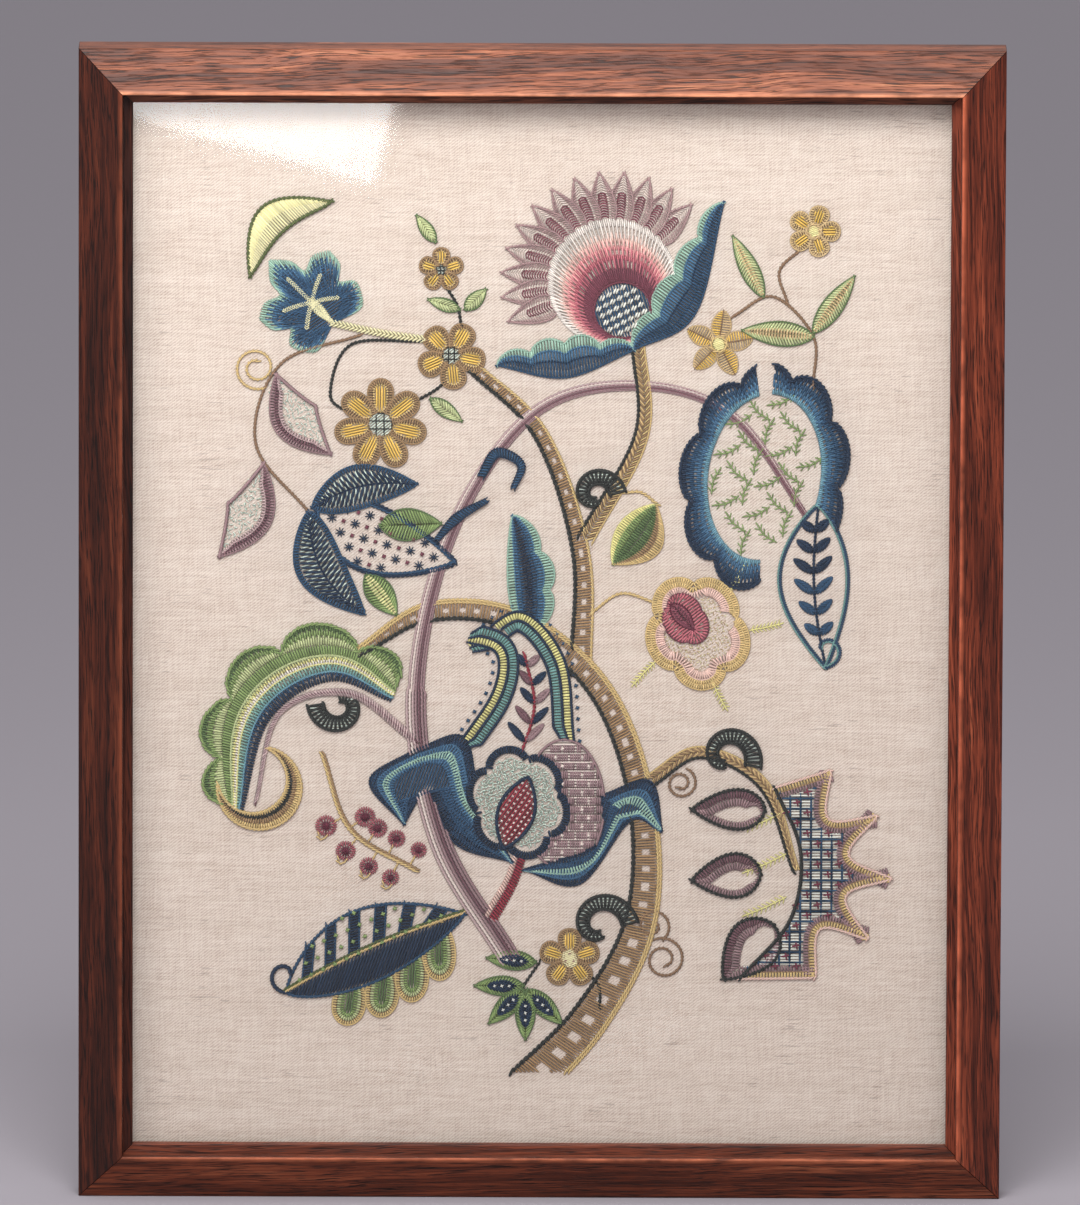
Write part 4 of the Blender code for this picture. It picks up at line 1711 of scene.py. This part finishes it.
heart = BLOOM + (bloom - BLOOM) * 0.80
seeding(heart, 1.55, "frost", 1.7, 0.95)
seeding(heart, 2.1, "mint", 1.1, 0.6, 0.2)
seeding(heart, 2.9, "teal", 0.9, 0.5, 0.2)
bands(bloom, [(3.4, "navy")], BLOOM, taper=False, over=True)
left, right, rib = blade((-18, -114), (-6, -78), 18)
bud = closed(left, right)
cover(bud)
hatch(bud, 55, 1.3, "red", 1.6)
dots, _ = cells(bud, 55, 2.7)
knots(dots, "shell", 1.5, 0.5)
rope(bud, "navy", 1.9, 1.5, lift=0.4)
told("ball, scrolls and navy flower")

# %% [markdown]
# ## Leaves at the foot
# Five small leaves with a navy middle, green edges and white dots fan out under the mauve stem.

# %% Work the leaves at the foot
begin("wool_foot_leaves")
for base, angle in (((-2, -172), 175), ((-8, -184), 180), ((-8, -186), 225), ((-7, -187), 270),
                    ((-6, -186), 315)):
    low = np.array(base) + 3.5 * heading_of(angle)
    high = np.array(base) + 18 * heading_of(angle)
    leaf(base, np.array(base) + 24 * heading_of(angle), 9.5, "green", "forest")
    begin("wool_foot_leaves", 0.5)
    leaf(low, high, 6.6, "navy")
    begin("wool_foot_leaves")
    knots([low + (high - low) * share for share in (0.25, 0.5, 0.75)], "white", 1.7, 1.1)
told("leaves at the foot")

# %% [markdown]
# ## From the design to wool
# The flat design is stood up on the linen: u becomes the frame's width, v its height, and
# the height of a stitch points out of the cloth. Each piece of the work becomes one mesh of
# threads, run through the node trees with the sizes set here.

# %% Make the wool pieces
ARCH = 0.38
FLATNESS = 0.72
DIP = 0.10 * MM
STAND_UP = Matrix.Translation((MIDDLE_X, LINEN_FRONT, MIDDLE_Z)) @ Matrix.Rotation(
    math.radians(90), 4, "X")


def guide_mesh(name, places, edges, values):
    """A mesh of edges in metres, with a value for each point under each name."""
    mesh = bpy.data.meshes.new(name)
    mesh.vertices.add(len(places))
    mesh.edges.add(len(edges))
    flat = np.zeros((len(places), 3))
    flat[:, :2] = places * MM
    mesh.vertices.foreach_set("co", flat.ravel())
    mesh.edges.foreach_set("vertices", np.asarray(edges).ravel())
    for key, value in values.items():
        colour = key == "wool"
        layer = mesh.attributes.new(key, "FLOAT_COLOR" if colour else "FLOAT", "POINT")
        if colour:
            value = np.hstack([value, np.ones((len(value), 1))])
        layer.data.foreach_set("color" if colour else "value", np.asarray(value, float).ravel())
    mesh.update()
    return mesh


def worked(name, mesh, group):
    """Runs a mesh through a node tree and keeps the result as a plain mesh object."""
    maker = bpy.data.objects.new(name + "_guide", mesh)
    bpy.context.collection.objects.link(maker)
    modifier = maker.modifiers.new("stitches", "NODES")
    modifier.node_group = group
    for item in group.interface.items_tree:
        if item.name in ("Arch", "Flatness", "Dip") and item.in_out == "INPUT":
            modifier[item.identifier] = {"Arch": ARCH, "Flatness": FLATNESS, "Dip": DIP}[item.name]
    graph = bpy.context.evaluated_depsgraph_get()
    result = bpy.data.meshes.new_from_object(maker.evaluated_get(graph))
    bpy.data.objects.remove(maker)
    bpy.data.meshes.remove(mesh)
    result.transform(STAND_UP)
    result.name = name
    piece = bpy.data.objects.new(name, result)
    bpy.context.collection.objects.link(piece)
    return piece


def laid_piece(name):
    """All threads of one piece."""
    groups = [group for group in threads if group["piece"] == name and len(group["ends"])]
    ends = np.concatenate([group["ends"] for group in groups]).reshape(-1, 2)
    doubled = {key: np.repeat(np.concatenate([group[key] for group in groups]), 2, axis=0)
               for key in ("wool", "width", "lift")}
    doubled["width"] = doubled["width"] * MM
    doubled["lift"] = doubled["lift"] * MM
    edges = np.arange(len(ends)).reshape(-1, 2)
    return worked(name, guide_mesh(name, ends, edges, doubled), laid_group)


def rows_piece(name):
    """All stem stitch rows of one piece."""
    rows = [guide for guide in guides if guide["piece"] == name]
    places = np.concatenate([row["path"] for row in rows])
    sizes = [len(row["path"]) for row in rows]
    starts = np.concatenate([[0], np.cumsum(sizes)[:-1]])
    edges = [np.stack([np.arange(a, a + n - 1), np.arange(a + 1, a + n)], 1)
             for a, n in zip(starts, sizes)]
    values = {"wool": np.repeat([row["wool"] for row in rows], sizes, axis=0)}
    values["width"] = np.concatenate([row["width"] for row in rows]) * MM
    for key, unit in (("pitch", MM), ("reach", MM), ("lift", MM), ("slant", 1.0)):
        values[key] = np.repeat([row[key] * unit for row in rows], sizes)
    return worked(name + "_rows", guide_mesh(name, places, np.concatenate(edges), values),
                  rows_group)


wool_pieces = []
for name in sorted({group["piece"] for group in threads}):
    if any(len(group["ends"]) for group in threads if group["piece"] == name):
        wool_pieces.append(laid_piece(name))
for name in sorted({guide["piece"] for guide in guides}):
    wool_pieces.append(rows_piece(name))
total = 0
for piece in wool_pieces:
    piece.data.calc_loop_triangles()
    count = len(piece.data.loop_triangles)
    total += count
    depth = (LINEN_FRONT - min(corner[1] for corner in piece.bound_box)) / MM
    print(piece.name, count, "triangles, stands", round(depth, 2), "mm proud")
    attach(piece, "root")
print("wool triangles in all:", total)
